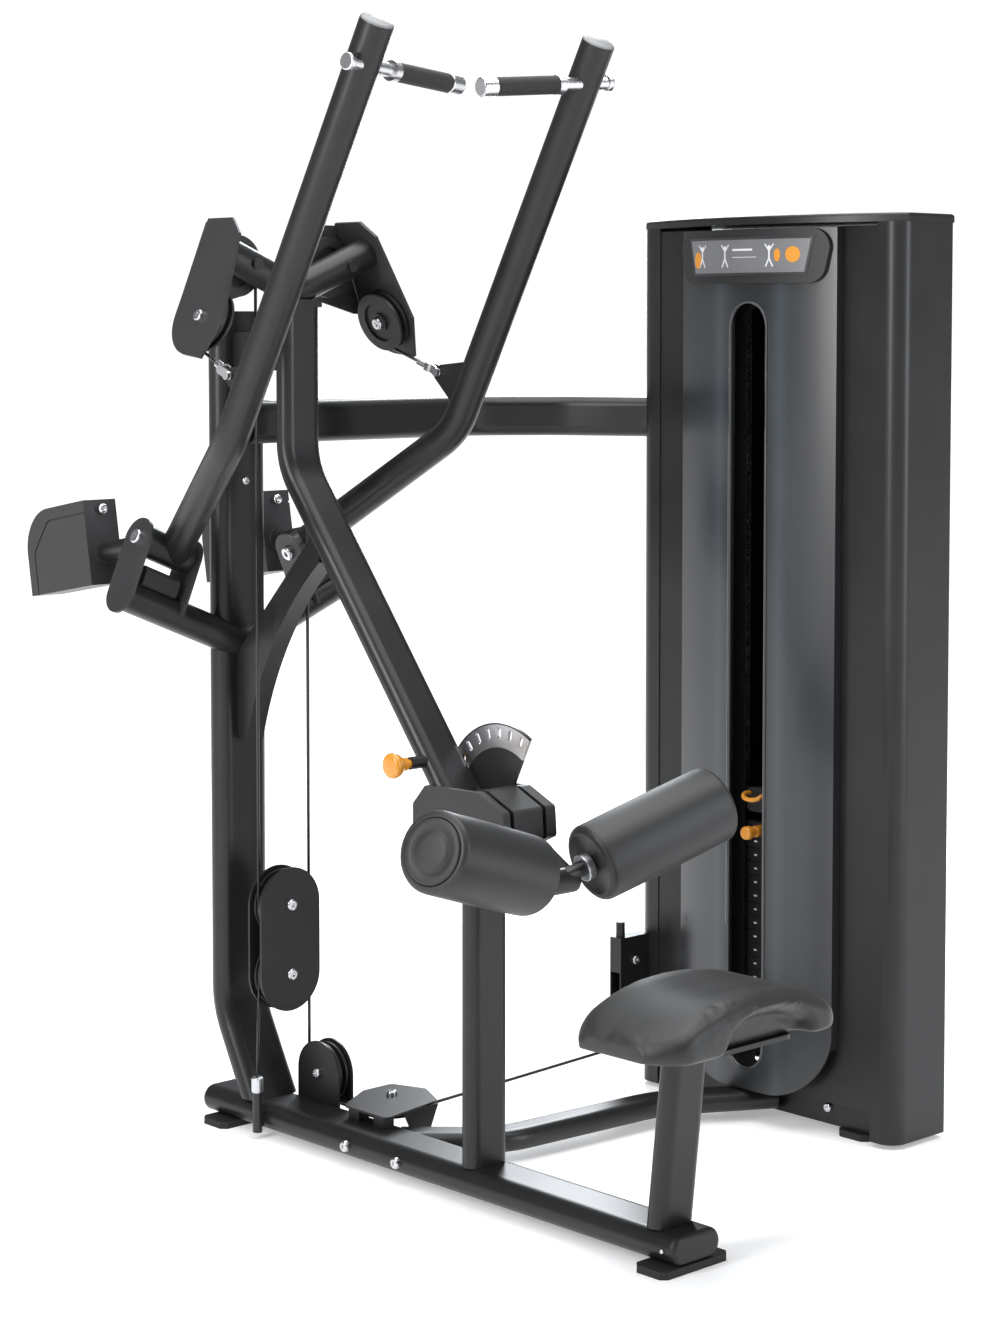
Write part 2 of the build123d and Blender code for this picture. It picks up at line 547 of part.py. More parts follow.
def cables_and_pulleys():
    centre, touch = outer_pulley_centre(), outer_tangent()
    pull = (touch - Vector(LUG_HOLE)).normalized()
    start = Vector(LUG_HOLE) + pull * 56
    corner = touch + pull * ((CABLE_Y - touch.Y) / pull.Y)
    tangent = Vector(BLOCK_R + PULLEY_R, CABLE_Y, TOP_PULLEY_Z) + axis_right * PULLEY_R
    crest_z = TOP_PULLEY_Z + PULLEY_R
    crest = tangent + up_right * ((crest_z - tangent.Z) / up_right.Z)
    save(both_sides(cable([start, touch], [])), "clevis_runs")
    route = [touch, corner, crest, (BLOCK_R, CABLE_Y, crest_z), (BLOCK_R, CABLE_Y, RUN_TOP_Z)]
    save(both_sides(cable(route, [PULLEY_R - 0.05, PULLEY_R - 0.2, PULLEY_R - 0.2])), "arm_cables")

    save(both_sides(cable([(BLOCK_R, CABLE_Y, RUN_TOP_Z), (BLOCK_R, CABLE_Y, BLOCK_HIGH_Z)], [])),
         "block_runs_upper")
    right_low = cable([(BLOCK_R, CABLE_Y, RUN_BOTTOM_Z), (BLOCK_R, CABLE_Y, BLOCK_LOW_Z)], [])
    left_low = cable([(-BLOCK_R - 6, CABLE_Y, RUN_BOTTOM_Z), (-BLOCK_R, CABLE_Y, BLOCK_LOW_Z - LEAN_GAP)], [])
    save(Compound(children=[left_low, right_low]), "block_runs_lower")
    wraps = []
    for z, bulge in ((BLOCK_LOW_Z, BLOCK_R), (BLOCK_HIGH_Z, -BLOCK_R)):
        with BuildPart() as wrap:
            with BuildLine():
                ThreePointArc((-BLOCK_R, CABLE_Y, z), (0, CABLE_Y, z + bulge), (BLOCK_R, CABLE_Y, z))
            with BuildSketch(Plane((-BLOCK_R, CABLE_Y, z))):
                Circle(CABLE_R)
            sweep()
        wraps.append(wrap.part)
    save(Compound(children=wraps), "block_cable_wraps")

    crest_y = TOWER_MID
    route = [(BLOCK_R, CABLE_Y, RUN_BOTTOM_Z), (BLOCK_R, CABLE_Y, BASE_TRACK_Z), (BLOCK_R, LINE_Y, BASE_TRACK_Z)]
    route += [(UP_RUN_X, LINE_Y, LINE_Z), (UP_RUN_X, LINE_Y, crest_z), (STACK_X, crest_y, crest_z)]
    route += [(STACK_X, crest_y, 1600)]
    save(cable(route, [BASE_R] + [PULLEY_R] * 4), "transfer_cable")
    save(cable([(STACK_X, crest_y, 1600), (STACK_X, crest_y, HEAD_Z + 92)], []), "stack_run")

    for name, sign in (("left", -1), ("right", 1)):
        mirrored = Vector(sign * centre.X, centre.Y, centre.Z)
        save(pulley(mirrored, (sign * cos_t, 0, sin_t), PULLEY_R), f"outer_pulley_{name}")
    save(pulley((0, CABLE_Y, BLOCK_HIGH_Z), (0, 1, 0), BLOCK_R, rim=4), "block_pulley_upper")
    save(pulley((0, CABLE_Y, BLOCK_LOW_Z), (0, 1, 0), BLOCK_R, rim=4), "block_pulley_lower")
    save(pulley((BLOCK_R, CABLE_Y - BASE_R, BASE_Z), (1, 0, 0), BASE_R), "base_pulley")
    swivel, swivel_axis = swivel_pulley_place()
    across = Vector(STACK_X - UP_RUN_X, crest_y - LINE_Y, 0).normalized()
    axle = Vector(-across.Y, across.X, 0)
    sheaves = [pulley((sign * (BLOCK_R + PULLEY_R), CABLE_Y, TOP_PULLEY_Z), (0, 1, 0), PULLEY_R) for sign in (-1, 1)]
    first = Vector(UP_RUN_X, LINE_Y, TOP_PULLEY_Z) + across * PULLEY_R
    last = Vector(STACK_X, crest_y, TOP_PULLEY_Z) - across * PULLEY_R
    sheaves += [pulley(first, axle, PULLEY_R), pulley(last, axle, PULLEY_R)]
    sheaves.append(pulley(swivel, swivel_axis, PULLEY_R))
    sheaves.append(pulley((UP_RUN_X - PULLEY_R, LINE_Y, tower_pulley_z()), (0, 1, 0), PULLEY_R))
    save(Compound(children=sheaves), "guide_sheaves")
    return axle, first, last


def floating_block():
    plates = []
    middle_z = (BLOCK_LOW_Z + BLOCK_HIGH_Z) / 2
    for y in (CABLE_Y - 20, CABLE_Y + 15):
        with BuildPart() as cheek:
            with BuildSketch(Plane((0, y, middle_z), x_dir=(0, 0, 1), z_dir=(0, 1, 0))):
                SlotOverall(272, 140)
            extrude(amount=5)
        plates.append(cheek.part)
    pins = []
    for z in (BLOCK_LOW_Z, BLOCK_HIGH_Z):
        pins.append(cylinder((0, CABLE_Y - 15, z), (0, 1, 0), SHAFT_R * 0.8, 30))
        pins.append(cylinder((0, CABLE_Y - 15, z), (0, 1, 0), 14, 4.6))
        pins.append(cylinder((0, CABLE_Y + 10.4, z), (0, 1, 0), 14, 4.6))
    save(joined(*plates, *pins), "block_plates")
    heads = []
    for z in (BLOCK_LOW_Z, BLOCK_HIGH_Z):
        heads.append(bolt_head((0, CABLE_Y - 20, z), (0, -1, 0), 11, 8))
        heads.append(bolt_head((0, CABLE_Y + 20, z), (0, 1, 0), 11, 8))
    save(Compound(children=heads), "block_bolts")


def brackets(axle, first, last):
    """Base pulley bracket with the swivel pulley's cover, the tower pulley bracket and the anchor."""
    centre_y = CABLE_Y - BASE_R
    cheeks = []
    for x in (BLOCK_R - 18, BLOCK_R + 14):
        with BuildPart() as cheek:
            with BuildSketch(Plane((x, centre_y, BASE_Z), x_dir=(0, 1, 0), z_dir=(1, 0, 0))):
                Circle(60)
                with Locations((0, -31)):
                    Rectangle(120, 62)
                Circle(8, mode=Mode.SUBTRACT)
            extrude(amount=4)
        cheeks.append(cheek.part)
    floor = block((BLOCK_R - 18, centre_y + 40, RAIL_TOP - 8), (BLOCK_R + 18, centre_y + 60, RAIL_TOP + 4))
    rail_solid = oval_tube([(0, RAIL_FRONT, RAIL_Z), (0, RAIL_REAR, RAIL_Z)], RAIL_W, RAIL_H, wall=0)
    axle_pin = cylinder((BLOCK_R - 18, centre_y, BASE_Z), (1, 0, 0), 8, 36)
    stops = [cylinder((BLOCK_R - 14, centre_y, BASE_Z), (1, 0, 0), 13, 3.6)]
    stops.append(cylinder((BLOCK_R + 10.4, centre_y, BASE_Z), (1, 0, 0), 13, 3.6))
    bracket = joined(*cheeks, floor, axle_pin, *stops, cut=[rail_solid])
    swivel, swivel_axis = swivel_pulley_place()
    cover_z = BASE_TRACK_Z + 16
    outline = [(2, 735), (150, 762), (186, 835), (160, 905), (90, 905), (2, 855)]
    cover = plate(Plane.XY.offset(cover_z), 4, outline, 12)
    flange = plate(Plane((0, 758, 0), x_dir=(1, 0, 0), z_dir=(0, -1, 0)), 4,
                   [(60, cover_z), (145, cover_z), (118, 22), (90, 22)])
    legs = [block((4, 745, RAIL_TOP), (28, 775, cover_z)), block((4, 815, RAIL_TOP), (28, 845, cover_z))]
    pin = cylinder(swivel - swivel_axis * 14, swivel_axis, 8, 27)
    washer = cylinder(swivel + swivel_axis * 10.4, swivel_axis, 14, cover_z - swivel.Z - 10)
    foot = cylinder(swivel - swivel_axis * 14, swivel_axis, 14, 3.6)
    guide = joined(cover, flange, *legs, pin, washer, foot, cut=[rail_solid])

    pulley_x, pulley_z = UP_RUN_X - PULLEY_R, tower_pulley_z()
    with BuildPart() as holder:
        for y in (LINE_Y - 15, LINE_Y + 12):
            with BuildSketch(Plane((0, y, 0), x_dir=(1, 0, 0), z_dir=(0, 1, 0))) as cheek:
                with Locations((694, -215)):
                    Rectangle(80, 190)
                fillet(cheek.vertices(), 8)
            extrude(amount=3)
        add(block((654, LINE_Y - 15, 240), (734, LINE_Y + 15, 310)))
        add(block((658, LINE_Y - 12, 236), (730, LINE_Y + 12, 306)), mode=Mode.SUBTRACT)
        add(cylinder((668, LINE_Y, 308), (0, 0, 1), 9, 32))
        add(cylinder((pulley_x, LINE_Y - 15, pulley_z), (0, 1, 0), 8, 30))
    save(Compound(children=[bracket, guide, holder.part]), "pulley_brackets")

    anchor = cylinder((-BLOCK_R - 6, CABLE_Y, FOOT_T), (0, 0, 1), 9, 75)
    lug = block((-BLOCK_R - 8, CABLE_Y - 8, RAIL_Z - 14), (-RAIL_W / 2 - 0.2, CABLE_Y + 8, RAIL_Z + 14))
    ferrule = cylinder((-BLOCK_R - 6, CABLE_Y, FOOT_T + 75), (0, 0, 1), 11, 29.5, round_end=3)
    save(joined(anchor, lug, ferrule), "cable_anchor")


# ---------------------------------------------------------------- thigh rollers
def thigh_rollers():
    outer, inner = Vector(ROLLER_OUT), Vector(ROLLER_IN)
    along = (outer - inner).normalized()
    middle = inner - along * (inner.X / along.X)
    shaft_end = outer - along * 12
    cheek_dir = middle - Vector(0, HUB_Y, HUB_Z)
    length = cheek_dir.length
    cheeks = []
    for x in (-42, 34):
        with BuildPart() as cheek:
            centre = Vector(x, (HUB_Y + middle.Y) / 2, (HUB_Z + middle.Z) / 2)
            with BuildSketch(Plane(centre, x_dir=cheek_dir, z_dir=(1, 0, 0))):
                SlotOverall(length + 36, 36)
            extrude(amount=8)
        cheeks.append(cheek.part)
    bars = [cylinder(middle, along, ROLLER_SHAFT_R, (shaft_end - middle).length)]
    bars.append(bars[0].mirror(Plane.YZ))
    bars.append(cylinder(middle - Vector(44, 0, 0), (1, 0, 0), 22, 88))
    bars.append(cylinder((-42, HUB_Y, HUB_Z), (1, 0, 0), 12, 42 + FAN_X))
    save(joined(*cheeks, *bars), "thigh_carrier")

    collar = cylinder(inner - along * 17, along, 24, 15, bore=ROLLER_SHAFT_R, round_end=2)
    for name, sign in (("left", -1), ("right", 1)):
        with BuildPart() as roller:
            near = Vector(sign * inner.X, inner.Y, inner.Z)
            far = Vector(sign * outer.X, outer.Y, outer.Z)
            with BuildSketch(Plane(near, z_dir=far - near)):
                Circle(ROLLER_R)
            extrude(amount=(far - near).length)
            fillet(roller.edges().filter_by(GeomType.CIRCLE), 10)
            with BuildSketch(Plane(near, z_dir=far - near)):
                Circle(ROLLER_SHAFT_R + FIT)
            extrude(amount=(far - near).length - 10, mode=Mode.SUBTRACT)
        save(roller.part, f"thigh_roller_{name}")

    pin_angle = math.atan2(PIN_Z - HUB_Z, PIN_Y - HUB_Y)
    pin_r = math.hypot(PIN_Z - HUB_Z, PIN_Y - HUB_Y)
    step = math.radians(SLOT_STEP)
    first, last = pin_angle - 0.13, pin_angle + step * (SLOT_COUNT - 1) + 0.13
    fan_plane = Plane((FAN_X, HUB_Y, HUB_Z), x_dir=(0, 1, 0), z_dir=(1, 0, 0))

    def polar(radius, angle):
        return (radius * math.cos(angle), radius * math.sin(angle))

    with BuildPart() as fan:
        with BuildSketch(fan_plane) as outline:
            with BuildLine():
                rim = [polar(pin_r + 18, a) for a in (first, (first + last) / 2, last)]
                ThreePointArc(*rim)
                Line(rim[2], polar(24, last + 0.5))
                ThreePointArc(polar(24, last + 0.5), polar(24, -2.2), polar(24, first - 0.5))
                Line(polar(24, first - 0.5), rim[0])
            make_face()
            for index in range(SLOT_COUNT):
                angle = pin_angle + index * step
                with Locations(Location(Vector(*polar(pin_r, angle)), math.degrees(angle))):
                    SlotOverall(20, 9, mode=Mode.SUBTRACT)
        extrude(amount=FAN_T)
    save(Compound(children=[fan.part, both_sides(collar)]), "holder_trim")

    profile = [(592, 640), (592, 690), (560, 725), (425, 728), (362, 700), (358, 648), (400, 628), (560, 628)]
    with BuildPart() as cover:
        with BuildSketch(Plane.YZ.offset(-59)) as outer_outline:
            with BuildLine():
                Polyline(*profile, close=True)
            make_face()
            fillet(outer_outline.vertices(), 8)
        extrude(amount=124)
        with BuildSketch(Plane.YZ.offset(-56)) as inner_outline:
            with BuildLine():
                Polyline(*profile, close=True)
            make_face()
            offset(amount=-3)
        extrude(inner_outline.sketch, amount=118, mode=Mode.SUBTRACT)
        add(block((-47, 470, 600), (48, 620, 740)), mode=Mode.SUBTRACT)
        post_way = block((-48, 445, 600), (48, 620, 760))
        foot_way = block((-59.1, 340, 600), (66, 620, 631))
        fan_way = block((FAN_X - 2, 440, 600), (FAN_X + FAN_T + 5, 640, 760))
        for opening in (post_way, foot_way, fan_way):
            add(opening, mode=Mode.SUBTRACT)
        for x in (-42, 34):
            add(block((x - 0.5, 340, 600), (x + 8.5, 450, 735)), mode=Mode.SUBTRACT)
    shells = [solid for solid in cover.solids() if solid.volume > 3000]
    save(Compound(children=shells), "thigh_cover")

    with BuildPart() as knob:
        with BuildSketch(Plane.XZ.offset(-PIN_Y)):
            with BuildLine():
                Polyline((FAN_X - 0.6, PIN_Z), (FAN_X - 0.6, PIN_Z + 4), (40, PIN_Z + 7), (-84, PIN_Z + 7))
                Polyline((-84, PIN_Z + 7), (-84, PIN_Z + 12), (-96, PIN_Z + 13))
                Spline((-96, PIN_Z + 13), (-104, PIN_Z + 20), (-116, PIN_Z + 22), (-122, PIN_Z + 12))
                Polyline((-122, PIN_Z + 12), (-123, PIN_Z), (FAN_X - 0.6, PIN_Z))
            make_face()
        revolve(axis=Axis((0, PIN_Y, PIN_Z), (1, 0, 0)))
    save(knob.part, "adjuster_knob")


def seat():
    with BuildPart() as cushion:
        with BuildSketch(Plane.XZ.offset(-SEAT_FRONT)):
            with BuildLine():
                ThreePointArc((-SEAT_HALF_W, SEAT_EDGE), (0, SEAT_TOP), (SEAT_HALF_W, SEAT_EDGE))
                Polyline((SEAT_HALF_W, SEAT_EDGE), (SEAT_HALF_W, SEAT_BOTTOM), (-SEAT_HALF_W, SEAT_BOTTOM),
                         (-SEAT_HALF_W, SEAT_EDGE))
            make_face()
        extrude(amount=SEAT_FRONT - SEAT_BACK)
        fillet(cushion.edges().filter_by(Axis.Z), 40)
        fillet(cushion.faces().sort_by(Axis.Z)[-1].edges(), 14)
    save(cushion.part, "seat_cushion")


# ---------------------------------------------------------------- weight tower
def corner_post(y_out, y_in, x_front, x_back, radius):
    """Full-height post with its outer front corner rounded."""
    lean = 1 if y_out > y_in else -1
    with BuildPart() as post:
        with BuildSketch(Plane.XY.offset(TOWER_Z0)):
            with BuildLine():
                Polyline((x_front + radius, y_out), (x_back, y_out), (x_back, y_in), (x_front, y_in),
                         (x_front, y_out - lean * radius))
                ThreePointArc((x_front, y_out - lean * radius),
                              (x_front + radius * 0.2929, y_out - lean * radius * 0.2929),
                              (x_front + radius, y_out))
            make_face()
        extrude(amount=TOWER_TOP - TOWER_Z0)
    return post.part


def tower(axle, first, last, arm_stops):
    posts = []
    for y_out, y_in in ((TOWER_Y0, TOWER_Y0 + UPRIGHT_W), (TOWER_Y1, TOWER_Y1 - UPRIGHT_W)):
        lean = 1 if y_out > y_in else -1
        outside = corner_post(y_out, y_in, TOWER_X0, TOWER_X1, UPRIGHT_R)
        cuts = [corner_post(y_out - lean * SHEET, y_in + lean * SHEET, TOWER_X0 + SHEET, TOWER_X1 - SHEET,
                            UPRIGHT_R - SHEET)]
        if lean > 0:
            cuts.append(block((TOWER_X0 - 1, LINE_Y - 12, 70), (TOWER_X0 + 45, LINE_Y + 12, 218)))
            cuts.append(block((740, y_in - 1, 1560), (830, y_in + SHEET + 1, 1700)))
        posts.append(joined(outside, cut=cuts))
    save(Compound(children=posts), "tower_uprights")

    inner0, inner1 = TOWER_Y0 + UPRIGHT_W, TOWER_Y1 - UPRIGHT_W
    beams = [block((758, inner0, FOOT_T), (848, inner1, RAIL_TOP))]
    wall_x = 846
    hanger = block((wall_x, inner0, 1590), (wall_x + 6, inner1, 1695))
    shelf = block((780, inner0, 1560), (wall_x + 6, inner1, 1570))
    cable_hole = cylinder((STACK_X, TOWER_MID, 1555), (0, 0, 1), 12, 20)
    pins = [joined(hanger, shelf, block((wall_x, inner0, 1565), (wall_x + 6, inner1, 1595)), cut=[cable_hole])]
    for centre in (first, last):
        run = (wall_x - (centre.X - axle.X * 12)) / axle.X if axle.X > 0 else 0
        start = centre - axle * 12
        pins.append(cylinder(start, axle, 8, run))
    trims = [block((wall_x + 6, 100, 1500), (900, 900, 1800)), block((700, inner1, 1500), (900, 900, 1800))]
    top_frame = joined(*pins, cut=trims)

    front_x = TOWER_X0 + 2
    with BuildPart() as front_panel:
        with BuildSketch(Plane((front_x, TOWER_MID, 0), x_dir=(0, 1, 0), z_dir=(1, 0, 0))):
            with Locations((0, (SHIELD_Z0 + 1706) / 2)):
                Rectangle(inner1 - inner0, 1706 - SHIELD_Z0)
            with Locations((0, (SLOT_Z0 + SLOT_Z1) / 2)):
                SlotOverall(SLOT_Z1 - SLOT_Z0, 2 * SLOT_HALF, rotation=90, mode=Mode.SUBTRACT)
        extrude(amount=SHEET)
    rear_panel = block((TOWER_X1 - SHEET, inner0, RAIL_TOP), (TOWER_X1, inner1, 1706))
    save(Compound(children=[front_panel.part, rear_panel, beams[0], top_frame]), "tower_panels")

    low_y, high_y = TOWER_MID - SHIELD_HALF, TOWER_MID + SHIELD_HALF
    ends = ((SHIELD_X0, low_y), (SHIELD_X0 - SHIELD_BULGE, TOWER_MID), (SHIELD_X0, high_y))
    with BuildPart() as shield:
        with BuildSketch(Plane.XY.offset(SHIELD_Z0)):
            with BuildLine():
                ThreePointArc(*ends)
                Polyline(ends[2], (TOWER_X0 + 1.5, high_y), (TOWER_X0 + 1.5, high_y - 4), (SHIELD_X0 + 3.5, high_y - 4))
                ThreePointArc((SHIELD_X0 + 3.5, high_y - 4), (SHIELD_X0 - SHIELD_BULGE + 4, TOWER_MID),
                              (SHIELD_X0 + 3.5, low_y + 4))
                Polyline((SHIELD_X0 + 3.5, low_y + 4), (TOWER_X0 + 1.5, low_y + 4), (TOWER_X0 + 1.5, low_y), ends[0])
            make_face()
        extrude(amount=1704 - SHIELD_Z0)
        with BuildSketch(Plane((600, TOWER_MID, 0), x_dir=(0, 1, 0), z_dir=(1, 0, 0))):
            with Locations((0, (SLOT_Z0 + SLOT_Z1) / 2)):
                SlotOverall(SLOT_Z1 - SLOT_Z0, 2 * SLOT_HALF, rotation=90)
        extrude(amount=120, mode=Mode.SUBTRACT)
        with BuildSketch(Plane((600, TOWER_MID, 0), x_dir=(0, 1, 0), z_dir=(1, 0, 0))) as envelope:
            with BuildLine():
                half, knee = SHIELD_HALF + 1, 130
                Polyline((-half, 1710), (half, 1710), (half, SHIELD_Z0 + knee))
                ThreePointArc((half, SHIELD_Z0 + knee), (half - 0.32 * knee, SHIELD_Z0 + 0.32 * knee),
                              (half - knee, SHIELD_Z0))
                Line((half - knee, SHIELD_Z0), (knee - half, SHIELD_Z0))
                ThreePointArc((knee - half, SHIELD_Z0), (0.32 * knee - half, SHIELD_Z0 + 0.32 * knee),
                              (-half, SHIELD_Z0 + knee))
                Line((-half, SHIELD_Z0 + knee), (-half, 1710))
            make_face()
        extrude(amount=150, mode=Mode.INTERSECT)
    save(shield.part, "tower_shield")

    with BuildPart() as placard:
        with BuildSketch(Plane.XY.offset(1600)):
            with BuildLine():
                grow = 10
                ThreePointArc((SHIELD_X0 - grow, low_y), (SHIELD_X0 - SHIELD_BULGE - grow, TOWER_MID),
                              (SHIELD_X0 - grow, high_y))
                Line((SHIELD_X0 - grow, high_y), (SHIELD_X0 - 0.3, high_y))
                ThreePointArc((SHIELD_X0 - 0.3, high_y), (SHIELD_X0 - SHIELD_BULGE - 0.3, TOWER_MID),
                              (SHIELD_X0 - 0.3, low_y))
                Line((SHIELD_X0 - 0.3, low_y), (SHIELD_X0 - grow, low_y))
            make_face()
        extrude(amount=102)
        with BuildSketch(Plane((600, TOWER_MID, 0), x_dir=(0, 1, 0), z_dir=(1, 0, 0))) as face:
            with BuildLine():
                Polyline((-SHIELD_HALF, 1702), (SHIELD_HALF, 1702), (SHIELD_HALF - 22, 1602), (22 - SHIELD_HALF, 1602),
                         close=True)
            make_face()
            fillet(face.vertices().group_by(Axis.Z)[0], 34)
        extrude(amount=200, mode=Mode.INTERSECT)
    save(placard.part, "placard")

    with BuildPart() as cap:
        with BuildSketch(Plane.XY.offset(TOWER_TOP)):
            with BuildLine():
                low, high = TOWER_Y0 - 2, TOWER_Y1 + 2
                Polyline((TOWER_X0 + 20, low), (TOWER_X1 + 2, low), (TOWER_X1 + 2, high), (TOWER_X0 + 20, high))
                ThreePointArc((TOWER_X0 + 20, high), (SHIELD_X0 - SHIELD_BULGE - 14, TOWER_MID), (TOWER_X0 + 20, low))
            make_face()
        extrude(amount=16)
        fillet(cap.faces().sort_by(Axis.Z)[-1].edges(), 6)
    save(cap.part, "top_cap")

    rods = [cylinder((STACK_X, TOWER_MID + s * ROD_Y, RAIL_TOP), (0, 0, 1), ROD_R, 1560 - RAIL_TOP) for s in (-1, 1)]
    bumpers = [cylinder((STACK_X, TOWER_MID + s * ROD_Y, RAIL_TOP), (0, 0, 1), 24, STACK_Z0 - RAIL_TOP - 0.5,
                        bore=ROD_R) for s in (-1, 1)]
    save(Compound(children=rods), "guide_rods")
    save(Compound(children=[*bumpers, arm_stops]), "rubber_stops")


def weight_stack():
    def slab(z, thickness, half):
        with BuildPart() as weight:
            with BuildSketch(Plane((STACK_X, TOWER_MID, z))):
                RectangleRounded(STACK_X1 - STACK_X0, 2 * half, 5)
                with Locations((0, -ROD_Y), (0, ROD_Y)):
                    Circle(ROD_R + 1.5, mode=Mode.SUBTRACT)
                Circle(14, mode=Mode.SUBTRACT)
            extrude(amount=thickness)
            with BuildSketch(Plane((STACK_X0, TOWER_MID, z + thickness / 2), z_dir=(1, 0, 0))):
                Circle(5.6)
            extrude(amount=45, mode=Mode.SUBTRACT)
        return weight.part

    slabs = [slab(STACK_Z0 + index * PLATE_PITCH, WEIGHT_T, STACK_HALF) for index in range(PLATES)]
    save(Compound(children=slabs), "weight_plates")
    stem = cylinder((STACK_X, TOWER_MID, STACK_Z0 + 6), (0, 0, 1), 12, HEAD_Z - STACK_Z0 - 6)
    head = slab(HEAD_Z, WEIGHT_T, STACK_HALF)
    yoke = block((STACK_X - 16, TOWER_MID - 30, HEAD_Z + WEIGHT_T), (STACK_X + 16, TOWER_MID + 30, HEAD_Z + 92))
    lever_pin = cylinder((STACK_X0 + 6, TOWER_MID, HEAD_Z + 75), (1, 0, 0), 5, 35)
    socket = cylinder((STACK_X, TOWER_MID, HEAD_Z - 0.1), (0, 0, 1), 14, WEIGHT_T + 0.1)
    hole = cylinder((STACK_X0 - 1, TOWER_MID, HEAD_Z + WEIGHT_T / 2), (1, 0, 0), 5.6, 46)
    save(joined(head, stem, socket, yoke, lever_pin, cut=[hole]), "head_plate")
    with BuildPart() as pin:
        add(cylinder((STACK_X0 - 46, TOWER_MID, HEAD_Z + WEIGHT_T / 2), (1, 0, 0), 5.5, 84))
        add(cylinder((STACK_X0 - 32, TOWER_MID, HEAD_Z + WEIGHT_T / 2), (1, 0, 0), 11, 26))
        add(cylinder((STACK_X0 - 62, TOWER_MID, HEAD_Z + WEIGHT_T / 2), (1, 0, 0), 13, 18, round_end=5))
    save(pin.part, "selector_pin")
    lever_z = HEAD_Z + 78
    with BuildPart() as lever:
        with BuildSketch(Plane((STACK_X0 - 22, 0, 0), x_dir=(0, 1, 0), z_dir=(1, 0, 0))) as handle:
            with Locations((TOWER_MID, lever_z - 6)):
                Rectangle(58, 46)
            fillet(handle.vertices(), 10)
        extrude(amount=20)
        add(block((STACK_X0 - 8, TOWER_MID - 90, lever_z - 15), (STACK_X0 + 34, TOWER_MID + 90, lever_z + 8)))
        add(cylinder((STACK_X0 + 5.5, TOWER_MID, HEAD_Z + 75), (1, 0, 0), 5 + FIT, 30), mode=Mode.SUBTRACT)
    save(lever.part, "add_on_weight")


def fasteners(shafts):
    """Button-head screws of the fixed frame."""
    side_x = -RAIL_W / 2 - 0.2
    heads = [bolt_head((side_x, y, RAIL_Z), (-1, 0, 0), 10, 9) for y in (640, 780)]
    heads.append(bolt_head((side_x, -10, RAIL_Z), (-1, 0, 0), 4, 3))
    heads.append(bolt_head((0, COLUMN_Y - COLUMN_D / 2, 1230), (0, -1, 0), 8, 7))
    heads.append(bolt_head((BLOCK_R - 18, CABLE_Y - BASE_R, BASE_Z), (-1, 0, 0), 10, 8))
    heads.append(bolt_head((BLOCK_R + PULLEY_R, LINE_Y + PULLEY_R, BASE_TRACK_Z + 20), (0, 0, 1), 10, 9))
    heads.append(bolt_head((694, LINE_Y - 15, 262), (0, -1, 0), 9, 7))
    heads.append(bolt_head((758, 330, 45), (-1, 0, 0), 9, 7))
    centre = outer_pulley_centre()
    face = Vector(0, 0, UPPER_YOKE_Z) + axis_right * UPPER_PLATE_REACH
    reach = (face - centre).dot(axis_right)
    outside = centre + axis_right * reach
    shaft = cylinder(outside - axis_right * (reach + 12), axis_right, SHAFT_R * 0.8, reach + 12)
    spacer = cylinder(centre + axis_right * 10.4, axis_right, 14, reach - 10.4 - PLATE_T)
    inner_head = bolt_head(centre - axis_right * 10.4, -axis_right, 12, 8)
    bolt = joined(shaft, spacer, bolt_head(outside, axis_right, 11, 8), inner_head)
    axle = cylinder((BLOCK_R + PULLEY_R, CABLE_Y - 12, TOP_PULLEY_Z), (0, 1, 0), SHAFT_R * 0.8, 31)
    nut = cylinder((BLOCK_R + PULLEY_R, 1051, TOP_PULLEY_Z), (0, 1, 0), 13, 8)
    spacer2 = cylinder((BLOCK_R + PULLEY_R, CABLE_Y + 10.4, TOP_PULLEY_Z), (0, 1, 0), 13, 1046 - CABLE_Y - 10.4)
    top_axle = joined(axle, nut, spacer2)
    save(Compound(children=heads), "frame_bolts")
    save(Compound(children=[both_sides(bolt), both_sides(top_axle), shafts]), "axles")


os.makedirs("parts", exist_ok=True)
floor_frame()
member_solid = uprights()
ties(member_solid)
upper_beam()
yokes()
shafts, arm_stops = pivot_mounts()
arm("right", turned=False)
arm("left", turned=True)
axle, first, last = cables_and_pulleys()
floating_block()
brackets(axle, first, last)
thigh_rollers()
seat()
tower(axle, first, last, arm_stops)
weight_stack()
fasteners(shafts)
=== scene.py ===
"""Look of the lat pulldown machine: materials, upholstery, cable runs, placard, light and camera."""
import math

